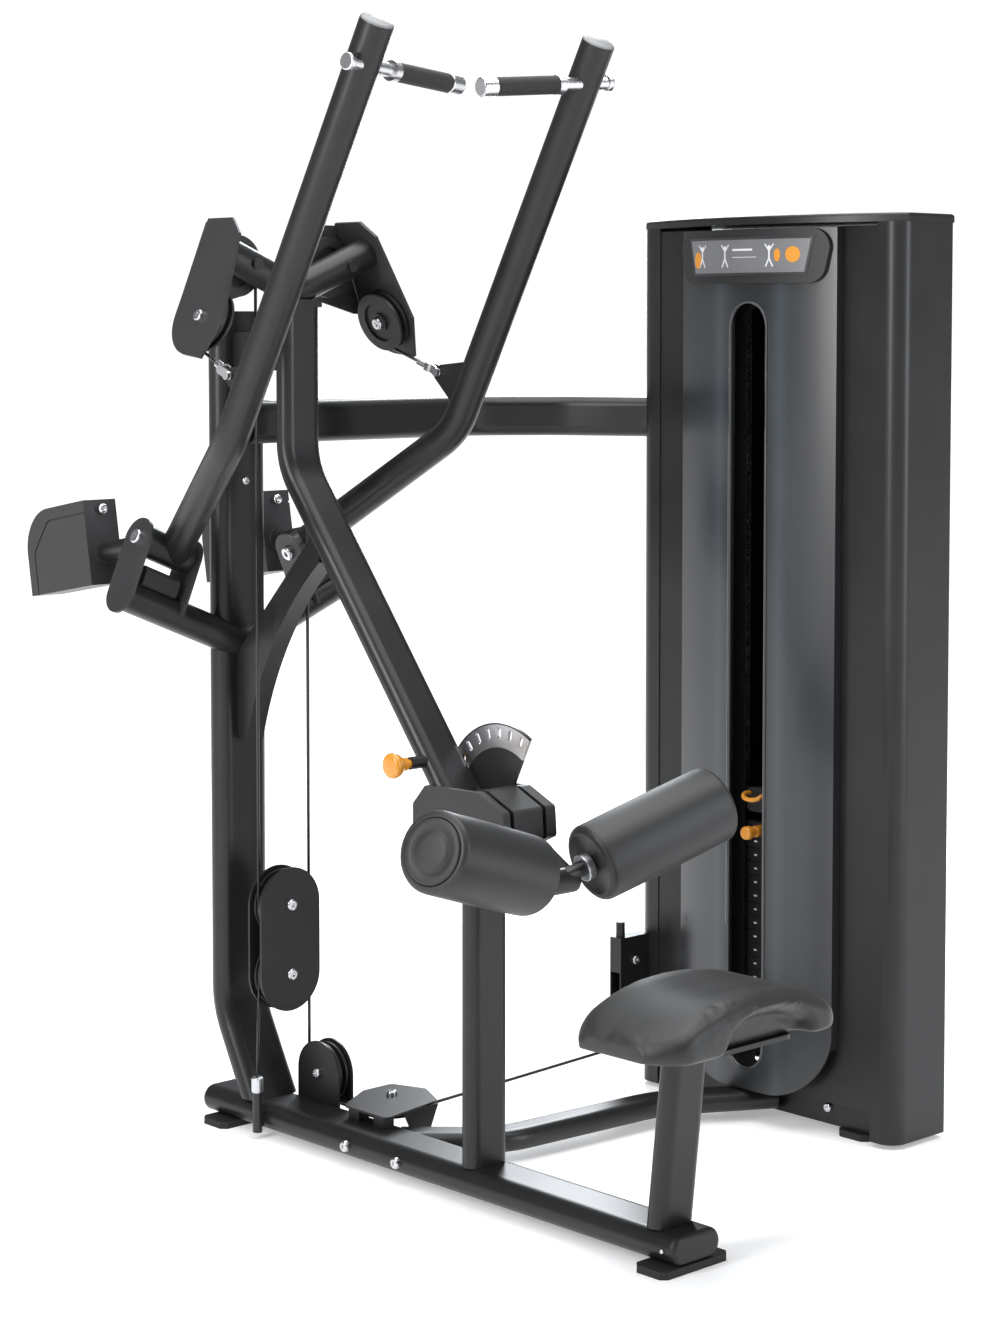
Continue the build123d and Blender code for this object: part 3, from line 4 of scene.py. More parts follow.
import bmesh
import bpy
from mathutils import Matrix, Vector


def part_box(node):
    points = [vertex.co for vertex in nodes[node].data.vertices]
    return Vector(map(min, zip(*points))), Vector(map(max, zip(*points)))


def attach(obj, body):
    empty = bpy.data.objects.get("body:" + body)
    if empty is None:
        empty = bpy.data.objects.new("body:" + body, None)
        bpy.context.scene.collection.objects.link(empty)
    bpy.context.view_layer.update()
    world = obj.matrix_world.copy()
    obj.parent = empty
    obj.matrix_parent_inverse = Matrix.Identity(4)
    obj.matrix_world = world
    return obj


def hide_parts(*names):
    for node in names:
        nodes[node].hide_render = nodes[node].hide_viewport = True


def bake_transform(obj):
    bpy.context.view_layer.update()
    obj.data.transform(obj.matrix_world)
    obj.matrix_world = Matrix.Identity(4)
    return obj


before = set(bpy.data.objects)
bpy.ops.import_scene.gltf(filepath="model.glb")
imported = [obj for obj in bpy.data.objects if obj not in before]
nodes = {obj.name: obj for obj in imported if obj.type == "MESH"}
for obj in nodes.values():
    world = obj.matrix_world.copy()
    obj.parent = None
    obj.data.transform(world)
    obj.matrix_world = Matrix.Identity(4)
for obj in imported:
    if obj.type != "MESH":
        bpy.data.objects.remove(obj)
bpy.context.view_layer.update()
scene = bpy.context.scene

# ---------------------------------------------------------------- camera
CAMERA_AT = (-3.246, -3.037, 1.525)
CAMERA_TURN = math.radians(-43.1)
CAMERA_LENS = 75.95
CAMERA_SHIFT_Y = -0.12
CAMERA_PITCH = math.radians(90 - 3.64)      # with the shift, this keeps the photograph's framing

camera_data = bpy.data.cameras.new("camera")
camera_data.lens = CAMERA_LENS
camera_data.sensor_width = 36
camera_data.shift_y = CAMERA_SHIFT_Y
camera = bpy.data.objects.new("camera", camera_data)
camera.location = CAMERA_AT
camera.rotation_euler = (CAMERA_PITCH, 0, CAMERA_TURN)
scene.collection.objects.link(camera)
scene.camera = camera


# ---------------------------------------------------------------- node helpers
class Shader:
    """A Principled material being wired up, with object coordinates at hand."""

    def __init__(self, name):
        self.material = bpy.data.materials.new(name)
        self.material.use_nodes = True
        self.tree = self.material.node_tree
        self.bsdf = self.tree.nodes["Principled BSDF"]
        self.coords = self.tree.nodes.new("ShaderNodeTexCoord").outputs["Object"]

    def set(self, **sockets):
        for name, value in sockets.items():
            self.bsdf.inputs[name.replace("_", " ")].default_value = value
        return self

    def link(self, output, socket):
        self.tree.links.new(output, self.bsdf.inputs[socket])

    def noise(self, scale, detail=3.0, roughness=0.55):
        node = self.tree.nodes.new("ShaderNodeTexNoise")
        node.inputs["Scale"].default_value = scale
        node.inputs["Detail"].default_value = detail
        node.inputs["Roughness"].default_value = roughness
        self.tree.links.new(self.coords, node.inputs["Vector"])
        return node.outputs["Fac"]

    def ramp(self, factor, stops):
        node = self.tree.nodes.new("ShaderNodeValToRGB")
        elements = node.color_ramp.elements
        while len(elements) < len(stops):
            elements.new(0.5)
        for element, (place, colour) in zip(elements, stops):
            element.position = place
            element.color = (*colour, 1) if len(colour) == 3 else colour
        self.tree.links.new(factor, node.inputs["Fac"])
        return node.outputs["Color"]

    def range(self, factor, low, high):
        node = self.tree.nodes.new("ShaderNodeMapRange")
        node.inputs["To Min"].default_value = low
        node.inputs["To Max"].default_value = high
        self.tree.links.new(factor, node.inputs["Value"])
        return node.outputs["Result"]

    def mix(self, factor, first, second):
        node = self.tree.nodes.new("ShaderNodeMix")
        node.data_type = "RGBA"
        for value, socket in ((factor, node.inputs["Factor"]), (first, node.inputs["A"]), (second, node.inputs["B"])):
            if isinstance(value, bpy.types.NodeSocket):
                self.tree.links.new(value, socket)
            else:
                socket.default_value = value
        return node.outputs["Result"]

    def bump(self, height, strength, distance):
        node = self.tree.nodes.new("ShaderNodeBump")
        node.inputs["Strength"].default_value = strength
        node.inputs["Distance"].default_value = distance
        self.tree.links.new(height, node.inputs["Height"])
        self.link(node.outputs["Normal"], "Normal")
        return self

    def axis(self, name):
        node = self.tree.nodes.new("ShaderNodeSeparateXYZ")
        self.tree.links.new(self.coords, node.inputs["Vector"])
        return node.outputs[name]

    def math(self, operation, *values):
        node = self.tree.nodes.new("ShaderNodeMath")
        node.operation = operation
        for index, value in enumerate(values):
            if isinstance(value, bpy.types.NodeSocket):
                self.tree.links.new(value, node.inputs[index])
            else:
                node.inputs[index].default_value = value
        return node.outputs["Value"]


def tone(value, tint=(1.0, 1.0, 1.0)):
    return tuple(value * part for part in tint)


def grained(name, dark, light, rough, grain, bump, distance=0.0003, tint=(1.0, 1.01, 1.04), **sockets):
    """Surface whose colour, roughness and height vary with a fine grain over a slow drift."""
    shader = Shader(name).set(**sockets)
    fine = shader.noise(grain, 2.0)
    drift = shader.noise(9.0, 3.0)
    both = shader.math("ADD", shader.math("MULTIPLY", fine, 0.65), shader.math("MULTIPLY", drift, 0.35))
    shader.link(shader.ramp(both, [(0.3, tone(dark, tint)), (0.7, tone(light, tint))]), "Base Color")
    shader.link(shader.range(both, rough[0], rough[1]), "Roughness")
    return shader.bump(fine, bump, distance)


# ---------------------------------------------------------------- materials
paint = grained("powder_coat", 0.010, 0.022, (0.28, 0.42), 1100, 0.2, 0.0002, Metallic=0.25).material
weight_paint = grained("weight_paint", 0.008, 0.016, (0.38, 0.55), 900, 0.2, 0.0002, Metallic=0.2).material
plate_paint = grained("plate_paint", 0.028, 0.048, (0.38, 0.52), 1300, 0.2, 0.0002, Metallic=0.3).material
plastic = grained("black_plastic", 0.008, 0.015, (0.42, 0.56), 1600, 0.18, 0.00015).material
cover_plastic = grained("cover_plastic", 0.016, 0.026, (0.45, 0.6), 1500, 0.25, 0.0002).material
rubber = grained("rubber", 0.010, 0.020, (0.62, 0.8), 700, 0.25, 0.0003).material
vinyl = grained("vinyl", 0.013, 0.022, (0.40, 0.52), 650, 0.3, 0.0003, Sheen_Weight=0.04).material
jacket = grained("cable_jacket", 0.010, 0.016, (0.25, 0.4), 1200, 0.1, 0.0001).material
silver = grained("silver", 0.55, 0.72, (0.18, 0.34), 420, 0.08, 0.0001, (1, 1, 1.02), Metallic=1.0).material
cap_grey = grained("cap_grey", 0.17, 0.22, (0.35, 0.5), 800, 0.12, 0.0002).material
orange = grained("orange", 0.62, 0.72, (0.22, 0.36), 300, 0.05, 0.0001, (1.0, 0.40, 0.035), Coat_Weight=0.4).material
white_ink = grained("white_ink", 0.6, 0.72, (0.5, 0.6), 500, 0.04, 0.0001).material
panel_grey = grained("panel_grey", 0.14, 0.18, (0.3, 0.4), 600, 0.05, 0.0001).material


RIB_PITCH = 0.0045


def grip_material():
    """Ribbed rubber: rings along the bar, which lies nearly along X."""
    shader = Shader("grip_rubber")
    shader.link(shader.ramp(shader.noise(500), [(0.3, tone(0.011)), (0.7, tone(0.02))]), "Base Color")
    shader.link(shader.range(shader.noise(60), 0.55, 0.75), "Roughness")
    rib = shader.math("SINE", shader.math("MULTIPLY", shader.axis("X"), 2 * math.pi / RIB_PITCH))
    return shader.bump(rib, 0.5, 0.0008).material


def shield_material():
    """Smoked moulded sheet whose colour holds a painted reflection: faint lighter bluish vertical bands beside the
    slot.
    """
    shader = Shader("smoked_shield").set(Coat_Weight=0.35, Coat_Roughness=0.2)
    band = shader.math("ABSOLUTE", shader.math("SUBTRACT", shader.axis("Y"), TOWER_MID_Y))
    reflection_band_gap = shader.math("SMOOTH_MIN", shader.math("ABSOLUTE", shader.math("SUBTRACT", band, PAINTED_REFLECTION_OFFSET)),
                            0.05, 0.02)
    streak = shader.noise(26.0, 2.0)
    # painted reflection: the colour turns lighter and bluish along the bands beside the slot, and stays the darker
    # smoked grey away from them
    tint = shader.ramp(shader.math("MULTIPLY", reflection_band_gap, 16.0),
                       [(0.0, (0.040, 0.050, 0.060)), (0.35, (0.024, 0.026, 0.029)), (1.0, (0.019, 0.020, 0.021))])
    shader.link(tint, "Base Color")
    shader.link(shader.range(streak, 0.26, 0.34), "Roughness")
    return shader.bump(shader.noise(900), 0.06, 0.0001).material


def fan_material():
    """Bright slotted rim on a black sector: split by the distance from the hub's axis."""
    shader = Shader("fan_trim")
    dy = shader.math("SUBTRACT", shader.axis("Y"), HUB_Y)
    dz = shader.math("SUBTRACT", shader.axis("Z"), HUB_Z)
    reach = shader.math("SQRT", shader.math("ADD", shader.math("MULTIPLY", dy, dy), shader.math("MULTIPLY", dz, dz)))
    rim = shader.math("MULTIPLY", shader.math("GREATER_THAN", reach, RIM_INNER),
                      shader.math("LESS_THAN", reach, RIM_OUTER))
    plate = shader.math("GREATER_THAN", shader.axis("X"), 0.0)
    top = shader.math("MULTIPLY", rim, plate)
    collar = shader.math("LESS_THAN", shader.axis("Y"), COLLAR_LIMIT_Y)
    bright = shader.math("MAXIMUM", top, collar)
    shader.link(shader.mix(bright, (0.02, 0.02, 0.021, 1), (0.60, 0.61, 0.63, 1)), "Base Color")
    shader.link(bright, "Metallic")
    shader.link(shader.range(shader.noise(300), 0.25, 0.4), "Roughness")
    return shader.material


def anchor_material():
    """Black tube with a bright ferrule on top."""
    shader = Shader("anchor_finish")
    bright = shader.math("GREATER_THAN", shader.axis("Z"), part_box("cable_anchor")[1][2] - FERRULE_LENGTH)
    shader.link(shader.mix(bright, (0.015, 0.015, 0.016, 1), (0.62, 0.63, 0.65, 1)), "Base Color")
    shader.link(bright, "Metallic")
    shader.link(shader.range(shader.noise(300), 0.25, 0.4), "Roughness")
    return shader.material


FERRULE_LENGTH = 0.0295
COLLAR_LIMIT_Y = 0.40      # the roller collars lie in front of this, the fan behind it
HUB_Y, HUB_Z = 0.4835, 0.690
RIM_INNER, RIM_OUTER = 0.098, 0.138     # bright band of the slotted plate, measured from the hub
PAINTED_REFLECTION_OFFSET = 0.075       # from the tower's middle to the painted bluish reflection band beside the slot
tower_low, tower_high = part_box("tower_uprights")
TOWER_MID_Y = (tower_low[1] + tower_high[1]) / 2

NODE_MATERIALS = {
    paint: ["base_rail", "rear_column", "front_frame_member", "seat_post", "floor_cross_tube", "upper_beam",
            "upper_yoke", "lower_yoke", "frame_ties", "pulley_brackets", "thigh_carrier", "tower_uprights",
            "tower_panels", "arm_tube_left", "arm_tube_right", "top_cap"],
    plate_paint: ["pivot_plates", "upper_pulley_plates", "counterweight_left", "counterweight_right"],
    weight_paint: ["weight_plates", "head_plate", "block_plates", "add_on_weight"],
    plastic: ["rail_end_caps", "placard", "outer_pulley_left", "outer_pulley_right", "block_pulley_upper",
              "block_pulley_lower", "base_pulley", "guide_sheaves"],
    cover_plastic: ["thigh_cover"],
    rubber: ["floor_feet", "rubber_stops"],
    jacket: ["arm_cables", "clevis_runs", "block_runs_upper", "block_runs_lower", "block_cable_wraps",
             "transfer_cable", "stack_run"],
    silver: ["frame_bolts", "axles", "block_bolts", "guide_rods", "handle_bar_left", "handle_bar_right",
             "cable_clevis_left", "cable_clevis_right"],
    anchor_material(): ["cable_anchor"],
    orange: ["selector_pin", "adjuster_knob"],
    grip_material(): ["handle_grip_left", "handle_grip_right"],
    shield_material(): ["tower_shield"],
    fan_material(): ["holder_trim"],
}


def paint_nodes():
    for material, names in NODE_MATERIALS.items():
        for name in names:
            piece = nodes[name]
            if not piece.material_slots:
                piece.data.materials.append(material)
            for place in piece.material_slots:
                place.link = "OBJECT"
                place.material = material


paint_nodes()


# ---------------------------------------------------------------- mesh helpers
def mesh_piece(name, vertices, faces, material, smooth=True):
    mesh = bpy.data.meshes.new(name)
    mesh.from_pydata([tuple(v) for v in vertices], [], faces)
    work = bmesh.new()
    work.from_mesh(mesh)
    bmesh.ops.remove_doubles(work, verts=work.verts, dist=1e-6)
    bmesh.ops.recalc_face_normals(work, faces=work.faces)
    work.to_mesh(mesh)
    work.free()
    for polygon in mesh.polygons:
        polygon.use_smooth = smooth
    mesh.materials.append(material)
    piece = bpy.data.objects.new(name, mesh)
    scene.collection.objects.link(piece)
    return piece


def turned(name, start, axis, profile, material, sides=64):
    """Solid of revolution: profile is (distance along the axis, radius) from one end to the other."""
    axis = Vector(axis).normalized()
    side = axis.orthogonal().normalized()
    other = axis.cross(side)
    vertices, faces = [], []
    for along, radius in profile:
        for index in range(sides):
            angle = 2 * math.pi * index / sides
            out = side * math.cos(angle) + other * math.sin(angle)
            vertices.append(Vector(start) + axis * along + out * max(radius, 1e-5))
    for row in range(len(profile) - 1):
        for index in range(sides):
            following = (index + 1) % sides
            faces.append((row * sides + index, row * sides + following,
                          (row + 1) * sides + following, (row + 1) * sides + index))
    return mesh_piece(name, vertices, faces, material)


def arc_profile(centre_along, centre_radius, radius, first, last, steps=8):
    """Rounded corner for a turned profile, by angles in degrees from the outward radius."""
    points = []
    for index in range(steps + 1):
        angle = math.radians(first + (last - first) * index / steps)
        points.append((centre_along + radius * math.sin(angle), centre_radius + radius * math.cos(angle)))
    return points


def finish_mesh(piece, levels):
    """Adds the wanted levels of subdivision and applies every modifier."""
    if levels:
        piece.modifiers.new("smooth", "SUBSURF").levels = levels
    bpy.context.view_layer.update()
    shape = bpy.data.meshes.new_from_object(piece.evaluated_get(bpy.context.evaluated_depsgraph_get()))
    piece.modifiers.clear()
    piece.data = shape
    for polygon in shape.polygons:
        polygon.use_smooth = True


# ---------------------------------------------------------------- thigh rollers
ROLLER_RADIUS = 0.068
ROLLER_NEAR, ROLLER_FAR = Vector((0.072, 0.285, 0.607)), Vector((0.332, 0.235, 0.689))


def roller(side_name, sign):
    near = Vector((sign * ROLLER_NEAR.x, ROLLER_NEAR.y, ROLLER_NEAR.z))
    far = Vector((sign * ROLLER_FAR.x, ROLLER_FAR.y, ROLLER_FAR.z))
    axis = (far - near).normalized()
    length = (far - near).length
    edge = 0.011
    body = [(0.0035, 0.0150), (0.0035, 0.052), (0.0, 0.054)]
    body += arc_profile(edge, ROLLER_RADIUS - edge, edge, -90, 0)
    body += [(length * 0.25, ROLLER_RADIUS + 0.0006), (length * 0.5, ROLLER_RADIUS + 0.001),
             (length * 0.75, ROLLER_RADIUS + 0.0006)]
    body += arc_profile(length - edge, ROLLER_RADIUS - edge, edge, 0, 90)
    body += [(length, 0.0565), (length - 0.003, 0.0555), (length - 0.003, 0.0)]
    pad = turned(f"thigh_pad_{side_name}", near, axis, body, vinyl, 96)
    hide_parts(f"thigh_roller_{side_name}")
    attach(pad, f"{side_name}_roller")
    disc = [(length - 0.0028, 0.0545), (length + 0.0005, 0.0540), (length + 0.0018, 0.052), (length + 0.0018, 0.0365),
            (length + 0.0002, 0.0355), (length + 0.0018, 0.0345), (length + 0.0032, 0.020), (length + 0.0036, 0.0)]
    cap = turned(f"roller_end_{side_name}", near, axis, disc, cover_plastic, 96)
    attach(cap, f"{side_name}_roller")


roller("right", 1)
roller("left", -1)


# ---------------------------------------------------------------- seat
CORNER_PULL, CORNER_START = 0.055, 0.72     # how far the corners pull in, from this share of the half width out
SADDLE_DROP, DISH_DEPTH = 0.058, 0.010
ARCH_HEIGHT, ARCH_CENTRE, ARCH_HALF = 0.060, 0.12, 0.5     # opening under the fascia; the last two are such shares
CLOTH_PRESSURE, CLOTH_FRAMES = 4, 20


def seat():
    """Saddle cushion: crowned across, its front fascia arched out, corners pulled in."""
    low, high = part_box("seat_cushion")
    half, back, front = high[0] - 0.004, high[1] - 0.004, low[1] + 0.004
    top, base = high[2] - 0.003, low[2] + 0.002
    columns = 48
    vertices, faces = [], []
    for index in range(columns + 1):
        t = -1 + 2 * index / columns
        x = half * t
        inset = CORNER_PULL * (max(0.0, abs(t) - CORNER_START) / (1 - CORNER_START)) ** 2
        crown = top - SADDLE_DROP * abs(t) ** 2.2
        dish = DISH_DEPTH * math.exp(-(t / 0.35) ** 2)
        arch = ARCH_HEIGHT * max(0.0, 1 - ((t - ARCH_CENTRE) / ARCH_HALF) ** 2) ** 0.5
        y0, y1 = front + inset, back - inset * 0.8
        depth = y1 - y0
        section = [
            (y0 + 0.046, base + arch * 0.75), (y0 + 0.016, base + arch * 0.97), (y0 + 0.003, base + arch + 0.003),
            (y0, base + arch + 0.009), (y0 + 0.001, crown - 0.022), (y0 + 0.006, crown - 0.012),
            (y0 + 0.022, crown - 0.003), (y0 + depth * 0.3, crown - dish), (y0 + depth * 0.55, crown - dish),
            (y0 + depth * 0.8, crown - dish * 0.4), (y1 - 0.020, crown - 0.005), (y1 - 0.004, crown - 0.020),
            (y1, crown - 0.034), (y1, base + 0.014), (y1 - 0.006, base + 0.003), (y1 - 0.030, base),
            (y0 + depth * 0.6, base), (y0 + 0.052, base),
        ]
        vertices += [(x, y, z) for y, z in section]
    count = len(section)
    for column in range(columns):
        for index in range(count):
            following = (index + 1) % count
            faces.append((column * count + index, column * count + following,
                          (column + 1) * count + following, (column + 1) * count + index))
    faces.append(tuple(range(count)))
    faces.append(tuple(reversed(range(columns * count, (columns + 1) * count))))
    cushion = mesh_piece("seat_pad", vertices, faces, vinyl)
    inflate(cushion, voxel=0.005, cap=0.004)
    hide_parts("seat_cushion")
    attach(cushion, "frame")


def inflate(piece, voxel, cap):
    """Voxel remesh, a short cloth inflation with its movement capped, then one subdivision."""
    remesh = piece.modifiers.new("remesh", "REMESH")
    remesh.mode = "VOXEL"
    remesh.voxel_size = voxel
    finish_mesh(piece, 0)
    start = [v.co.copy() for v in piece.data.vertices]
    cloth = piece.modifiers.new("cloth", "CLOTH")
    cloth.settings.use_pressure = True
    cloth.settings.uniform_pressure_force = CLOTH_PRESSURE
    cloth.settings.effector_weights.gravity = 0
    cloth.settings.quality = 5
    for number in range(1, CLOTH_FRAMES + 1):
        scene.frame_set(number)
    shape = piece.evaluated_get(bpy.context.evaluated_depsgraph_get()).data
    moved = [v.co.copy() for v in shape.vertices]
    piece.modifiers.clear()
    scene.frame_set(1)
    for vertex, was, now in zip(piece.data.vertices, start, moved):
        shift = now - was
        if shift.length > cap:
            shift *= cap / shift.length
        vertex.co = was + shift
    smoother = piece.modifiers.new("relax", "SMOOTH")
    smoother.iterations = 3
    finish_mesh(piece, 1)
    if not piece.data.materials:
        piece.data.materials.append(vinyl)


seat()


# ---------------------------------------------------------------- cable runs that follow a joint
def straight_run(name, start, end, radius, node):
    """Two-ring tube, so that it stays straight when its far end moves with another body."""
    start, end = Vector(start), Vector(end)
    run = turned(name, start, end - start, [(0, 0.0), (0, radius), ((end - start).length, radius),
                                            ((end - start).length, 0.0)], jacket, 16)
    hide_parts(node)
    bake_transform(run)


CABLE_RADIUS = 0.003
END_RING_DEPTH = 0.0045
CLEVIS_HOLE = (0.246, 0.858, 1.436)      # on the right arm's lug; the left mirrors it


def cable_runs():
    low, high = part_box("block_runs_upper")
    side, plane_y = high[0] - CABLE_RADIUS, (low[1] + high[1]) / 2
    for name, sign in (("left", -1), ("right", 1)):
        straight_run(f"upper_run_{name}", (sign * side, plane_y, high[2]), (sign * side, plane_y, low[2]),
                     CABLE_RADIUS, "block_runs_upper")
    low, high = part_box("block_runs_lower")
    straight_run("lower_run_right", (side, plane_y, low[2]), (side, plane_y, high[2]), CABLE_RADIUS,
                 "block_runs_lower")
    straight_run("lower_run_left", (low[0] + CABLE_RADIUS, plane_y, low[2]), (-side, plane_y, high[2]), CABLE_RADIUS,
                 "block_runs_lower")
    low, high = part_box("stack_run")
    middle = ((low[0] + high[0]) / 2, (low[1] + high[1]) / 2)
    straight_run("stack_line", (*middle, high[2]), (*middle, low[2]), CABLE_RADIUS, "stack_run")
    hole = Vector(CLEVIS_HOLE)
    run = nodes["clevis_runs"].data
    for name, sign in (("left", -1), ("right", 1)):
        ring = [v.co for v in run.vertices if v.co.x * sign > 0]
        far = max(co.y for co in ring)
        end_ring = [co for co in ring if co.y > far - END_RING_DEPTH]
        touch = sum(end_ring, Vector()) / len(end_ring)
        straight_run(f"arm_run_{name}", touch, (sign * hole.x, hole.y, hole.z), CABLE_RADIUS,
                     "clevis_runs")


cable_runs()


# ---------------------------------------------------------------- weight stack dressing
def torus(name, centre, axis, major, minor, material, sides=32, tube=10):
    axis = Vector(axis).normalized()
    side = axis.orthogonal().normalized()
    other = axis.cross(side)
    vertices, faces = [], []
    for i in range(sides):
        angle = 2 * math.pi * i / sides
        out = side * math.cos(angle) + other * math.sin(angle)
        for j in range(tube):
            turn = 2 * math.pi * j / tube
            vertices.append(Vector(centre) + out * (major + minor * math.cos(turn)) + axis * minor * math.sin(turn))
    for i in range(sides):
        for j in range(tube):
            a, b = i * tube + j, i * tube + (j + 1) % tube
            c, d = ((i + 1) % sides) * tube + (j + 1) % tube, ((i + 1) % sides) * tube + j
            faces.append((a, b, c, d))
    return mesh_piece(name, vertices, faces, material)


def box_piece(name, low, high, material, bevel=0.0004):
    vertices = [(x, y, z) for x in (low[0], high[0]) for y in (low[1], high[1]) for z in (low[2], high[2])]
    faces = [(0, 1, 3, 2), (4, 6, 7, 5), (0, 4, 5, 1), (2, 3, 7, 6), (0, 2, 6, 4), (1, 5, 7, 3)]
    piece = mesh_piece(name, vertices, faces, material, smooth=False)
    if bevel:
        edge = piece.modifiers.new("edge", "BEVEL")
        edge.width = bevel
        edge.segments = 2
        finish_mesh(piece, 0)
    return piece


def stack_dressing():
    """Number rings and plain marks on the front of each weight plate."""
    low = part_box("weight_plates")[0]
    pitch, plates, thick = 0.0265, 16, 0.0254
    face = low[0]
    for index in range(plates):
        z = low[2] + index * pitch + thick / 2
        ring = torus(f"plate_ring_{index + 1:02d}", (face - 0.0004, TOWER_MID_Y, z), (1, 0, 0), 0.0078, 0.0013, orange)
        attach(ring, "frame")
        for side, width in ((-1, 0.012), (1, 0.007)):
            middle = TOWER_MID_Y + side * 0.026
            mark = box_piece(f"plate_mark_{index + 1:02d}_{'a' if side < 0 else 'b'}",
                             (face - 0.0006, middle - width / 2, z - 0.0016),
                             (face + 0.0002, middle + width / 2, z + 0.0016), white_ink, 0.0002)
            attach(mark, "frame")


stack_dressing()


# ---------------------------------------------------------------- tower trim
def slot_outline(half, z0, z1, steps=20):
    """Points of an upright slot, round at both ends, counter-clockwise from its lower right."""
    points = []
    for index in range(steps + 1):
        angle = math.pi * index / steps
        points.append((half * math.cos(angle), z1 - half + half * math.sin(angle)))
    for index in range(steps + 1):
        angle = math.pi + math.pi * index / steps
        points.append((half * math.cos(angle), z0 + half + half * math.sin(angle)))
    return points


SHIELD_BULGE, SHIELD_EDGE_X = 0.028, 0.716      # the shield stands this far proud of its side edges, which lie at X


def slot_lip():
    """Raised bright lip round the slot in the curved shield."""
    shield_low, shield_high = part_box("tower_shield")
    half_width = (shield_high[1] - shield_low[1]) / 2
    radius = (half_width ** 2 + SHIELD_BULGE ** 2) / (2 * SHIELD_BULGE)

    def surface(y):
        return SHIELD_EDGE_X - SHIELD_BULGE + radius - math.sqrt(radius ** 2 - y ** 2)

    outer, inner = slot_outline(0.0485, 0.1015, 1.5695), slot_outline(0.0445, 0.1055, 1.5655)
    vertices, faces = [], []
    for (yo, zo), (yi, zi) in zip(outer, inner):
        vertices.append((surface(yo) - 0.0002, TOWER_MID_Y + yo, zo))
        vertices.append((surface(yo) - 0.0032, TOWER_MID_Y + yo * 0.99, zo))
        vertices.append((surface(yi) - 0.0032, TOWER_MID_Y + yi, zi))
        vertices.append((surface(yi) + 0.012, TOWER_MID_Y + yi, zi))
    count = len(outer)
    for index in range(count):
        following = (index + 1) % count
        for row in range(3):
            faces.append((index * 4 + row, index * 4 + row + 1, following * 4 + row + 1, following * 4 + row))
        faces.append((index * 4 + 3, index * 4, following * 4, following * 4 + 3))
    lip = mesh_piece("slot_lip", vertices, faces, lip_material)
    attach(lip, "frame")


lip_material = grained("lip_grey", 0.03, 0.05, (0.16, 0.26), 700, 0.05, 0.0001, (0.92, 1.0, 1.1),
                       Coat_Weight=0.5).material
slot_lip()


# ---------------------------------------------------------------- arm end caps
ARM_TOP, ARM_BEND = (0.256, 0.452, 2.019), (0.264, 0.837, 1.325)      # on the right arm's line; the left mirrors them


def arm_caps():
    """Light domed discs on the ends of the arm tubes."""
    for name, sign in (("left", -1), ("right", 1)):
        top = Vector((sign * ARM_TOP[0], *ARM_TOP[1:]))
        bend = Vector((sign * ARM_BEND[0], *ARM_BEND[1:]))
        axis = (top - bend).normalized()
        profile = [(-0.001, 0.0), (-0.001, 0.0285), (0.0008, 0.0292), (0.0028, 0.0282), (0.0045, 0.024), (0.0055, 0.0)]
        disc = turned(f"arm_cap_{name}", top, axis, profile, cap_grey, 64)
        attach(disc, f"{name}_arm")


arm_caps()

# ---------------------------------------------------------------- console panel
PANEL_Z0, PANEL_Z1, PANEL_HALF = 1.622, 1.684, 0.150
CONSOLE_HALF_WIDTH, CONSOLE_PROUD = 0.193, 0.010
BEZEL_LIFT, FACE_LIFT, INK_LIFT = 0.0016, 0.0022, 0.0026


def console_x(y, lift):
    """Front of the console at a distance y from the tower's middle, raised by lift."""
    radius = (CONSOLE_HALF_WIDTH ** 2 + SHIELD_BULGE ** 2) / (2 * SHIELD_BULGE)
    return SHIELD_EDGE_X - CONSOLE_PROUD - SHIELD_BULGE + radius - math.sqrt(radius ** 2 - y ** 2) - lift


def console_patch(name, outline, lift, material):
    """Thin plate bent to the console's curve; outline is (y, z) from the panel's middle."""
    y0, y1 = min(y for y, z in outline), max(y for y, z in outline)
    columns = max(2, int((y1 - y0) / 0.006))
    work = bmesh.new()
    ring = [work.verts.new((0, y, z)) for y, z in outline]
    work.faces.new(ring)
    for index in range(1, columns):
        cut = y0 + (y1 - y0) * index / columns
        geometry = work.verts[:] + work.edges[:] + work.faces[:]
        bmesh.ops.bisect_plane(work, geom=geometry, plane_co=(0, cut, 0), plane_no=(0, 1, 0))
    raised = bmesh.ops.extrude_face_region(work, geom=work.faces[:])
    for vertex in work.verts:
        vertex.co.x = console_x(vertex.co.y, 0)
    for vertex in [v for v in raised["geom"] if isinstance(v, bmesh.types.BMVert)]:
        vertex.co.x = console_x(vertex.co.y, lift)
    for vertex in work.verts:
        vertex.co.y += TOWER_MID_Y
        vertex.co.z += (PANEL_Z0 + PANEL_Z1) / 2
    bmesh.ops.recalc_face_normals(work, faces=work.faces)
    mesh = bpy.data.meshes.new(name)
    work.to_mesh(mesh)
    work.free()
    mesh.materials.append(material)
    piece = bpy.data.objects.new(name, mesh)
    scene.collection.objects.link(piece)
    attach(piece, "frame")


def oval(y, z, half_y, half_z, steps=18):
    return [(y + half_y * math.cos(2 * math.pi * i / steps), z + half_z * math.sin(2 * math.pi * i / steps))
            for i in range(steps)]


def bar(start, end, width):
    along = Vector((end[0] - start[0], end[1] - start[1])).normalized() * width / 2
    across = (-along.y, along.x)
    return [(start[0] + across[0], start[1] + across[1]), (start[0] - across[0], start[1] - across[1]),
            (end[0] - across[0], end[1] - across[1]), (end[0] + across[0], end[1] + across[1])]


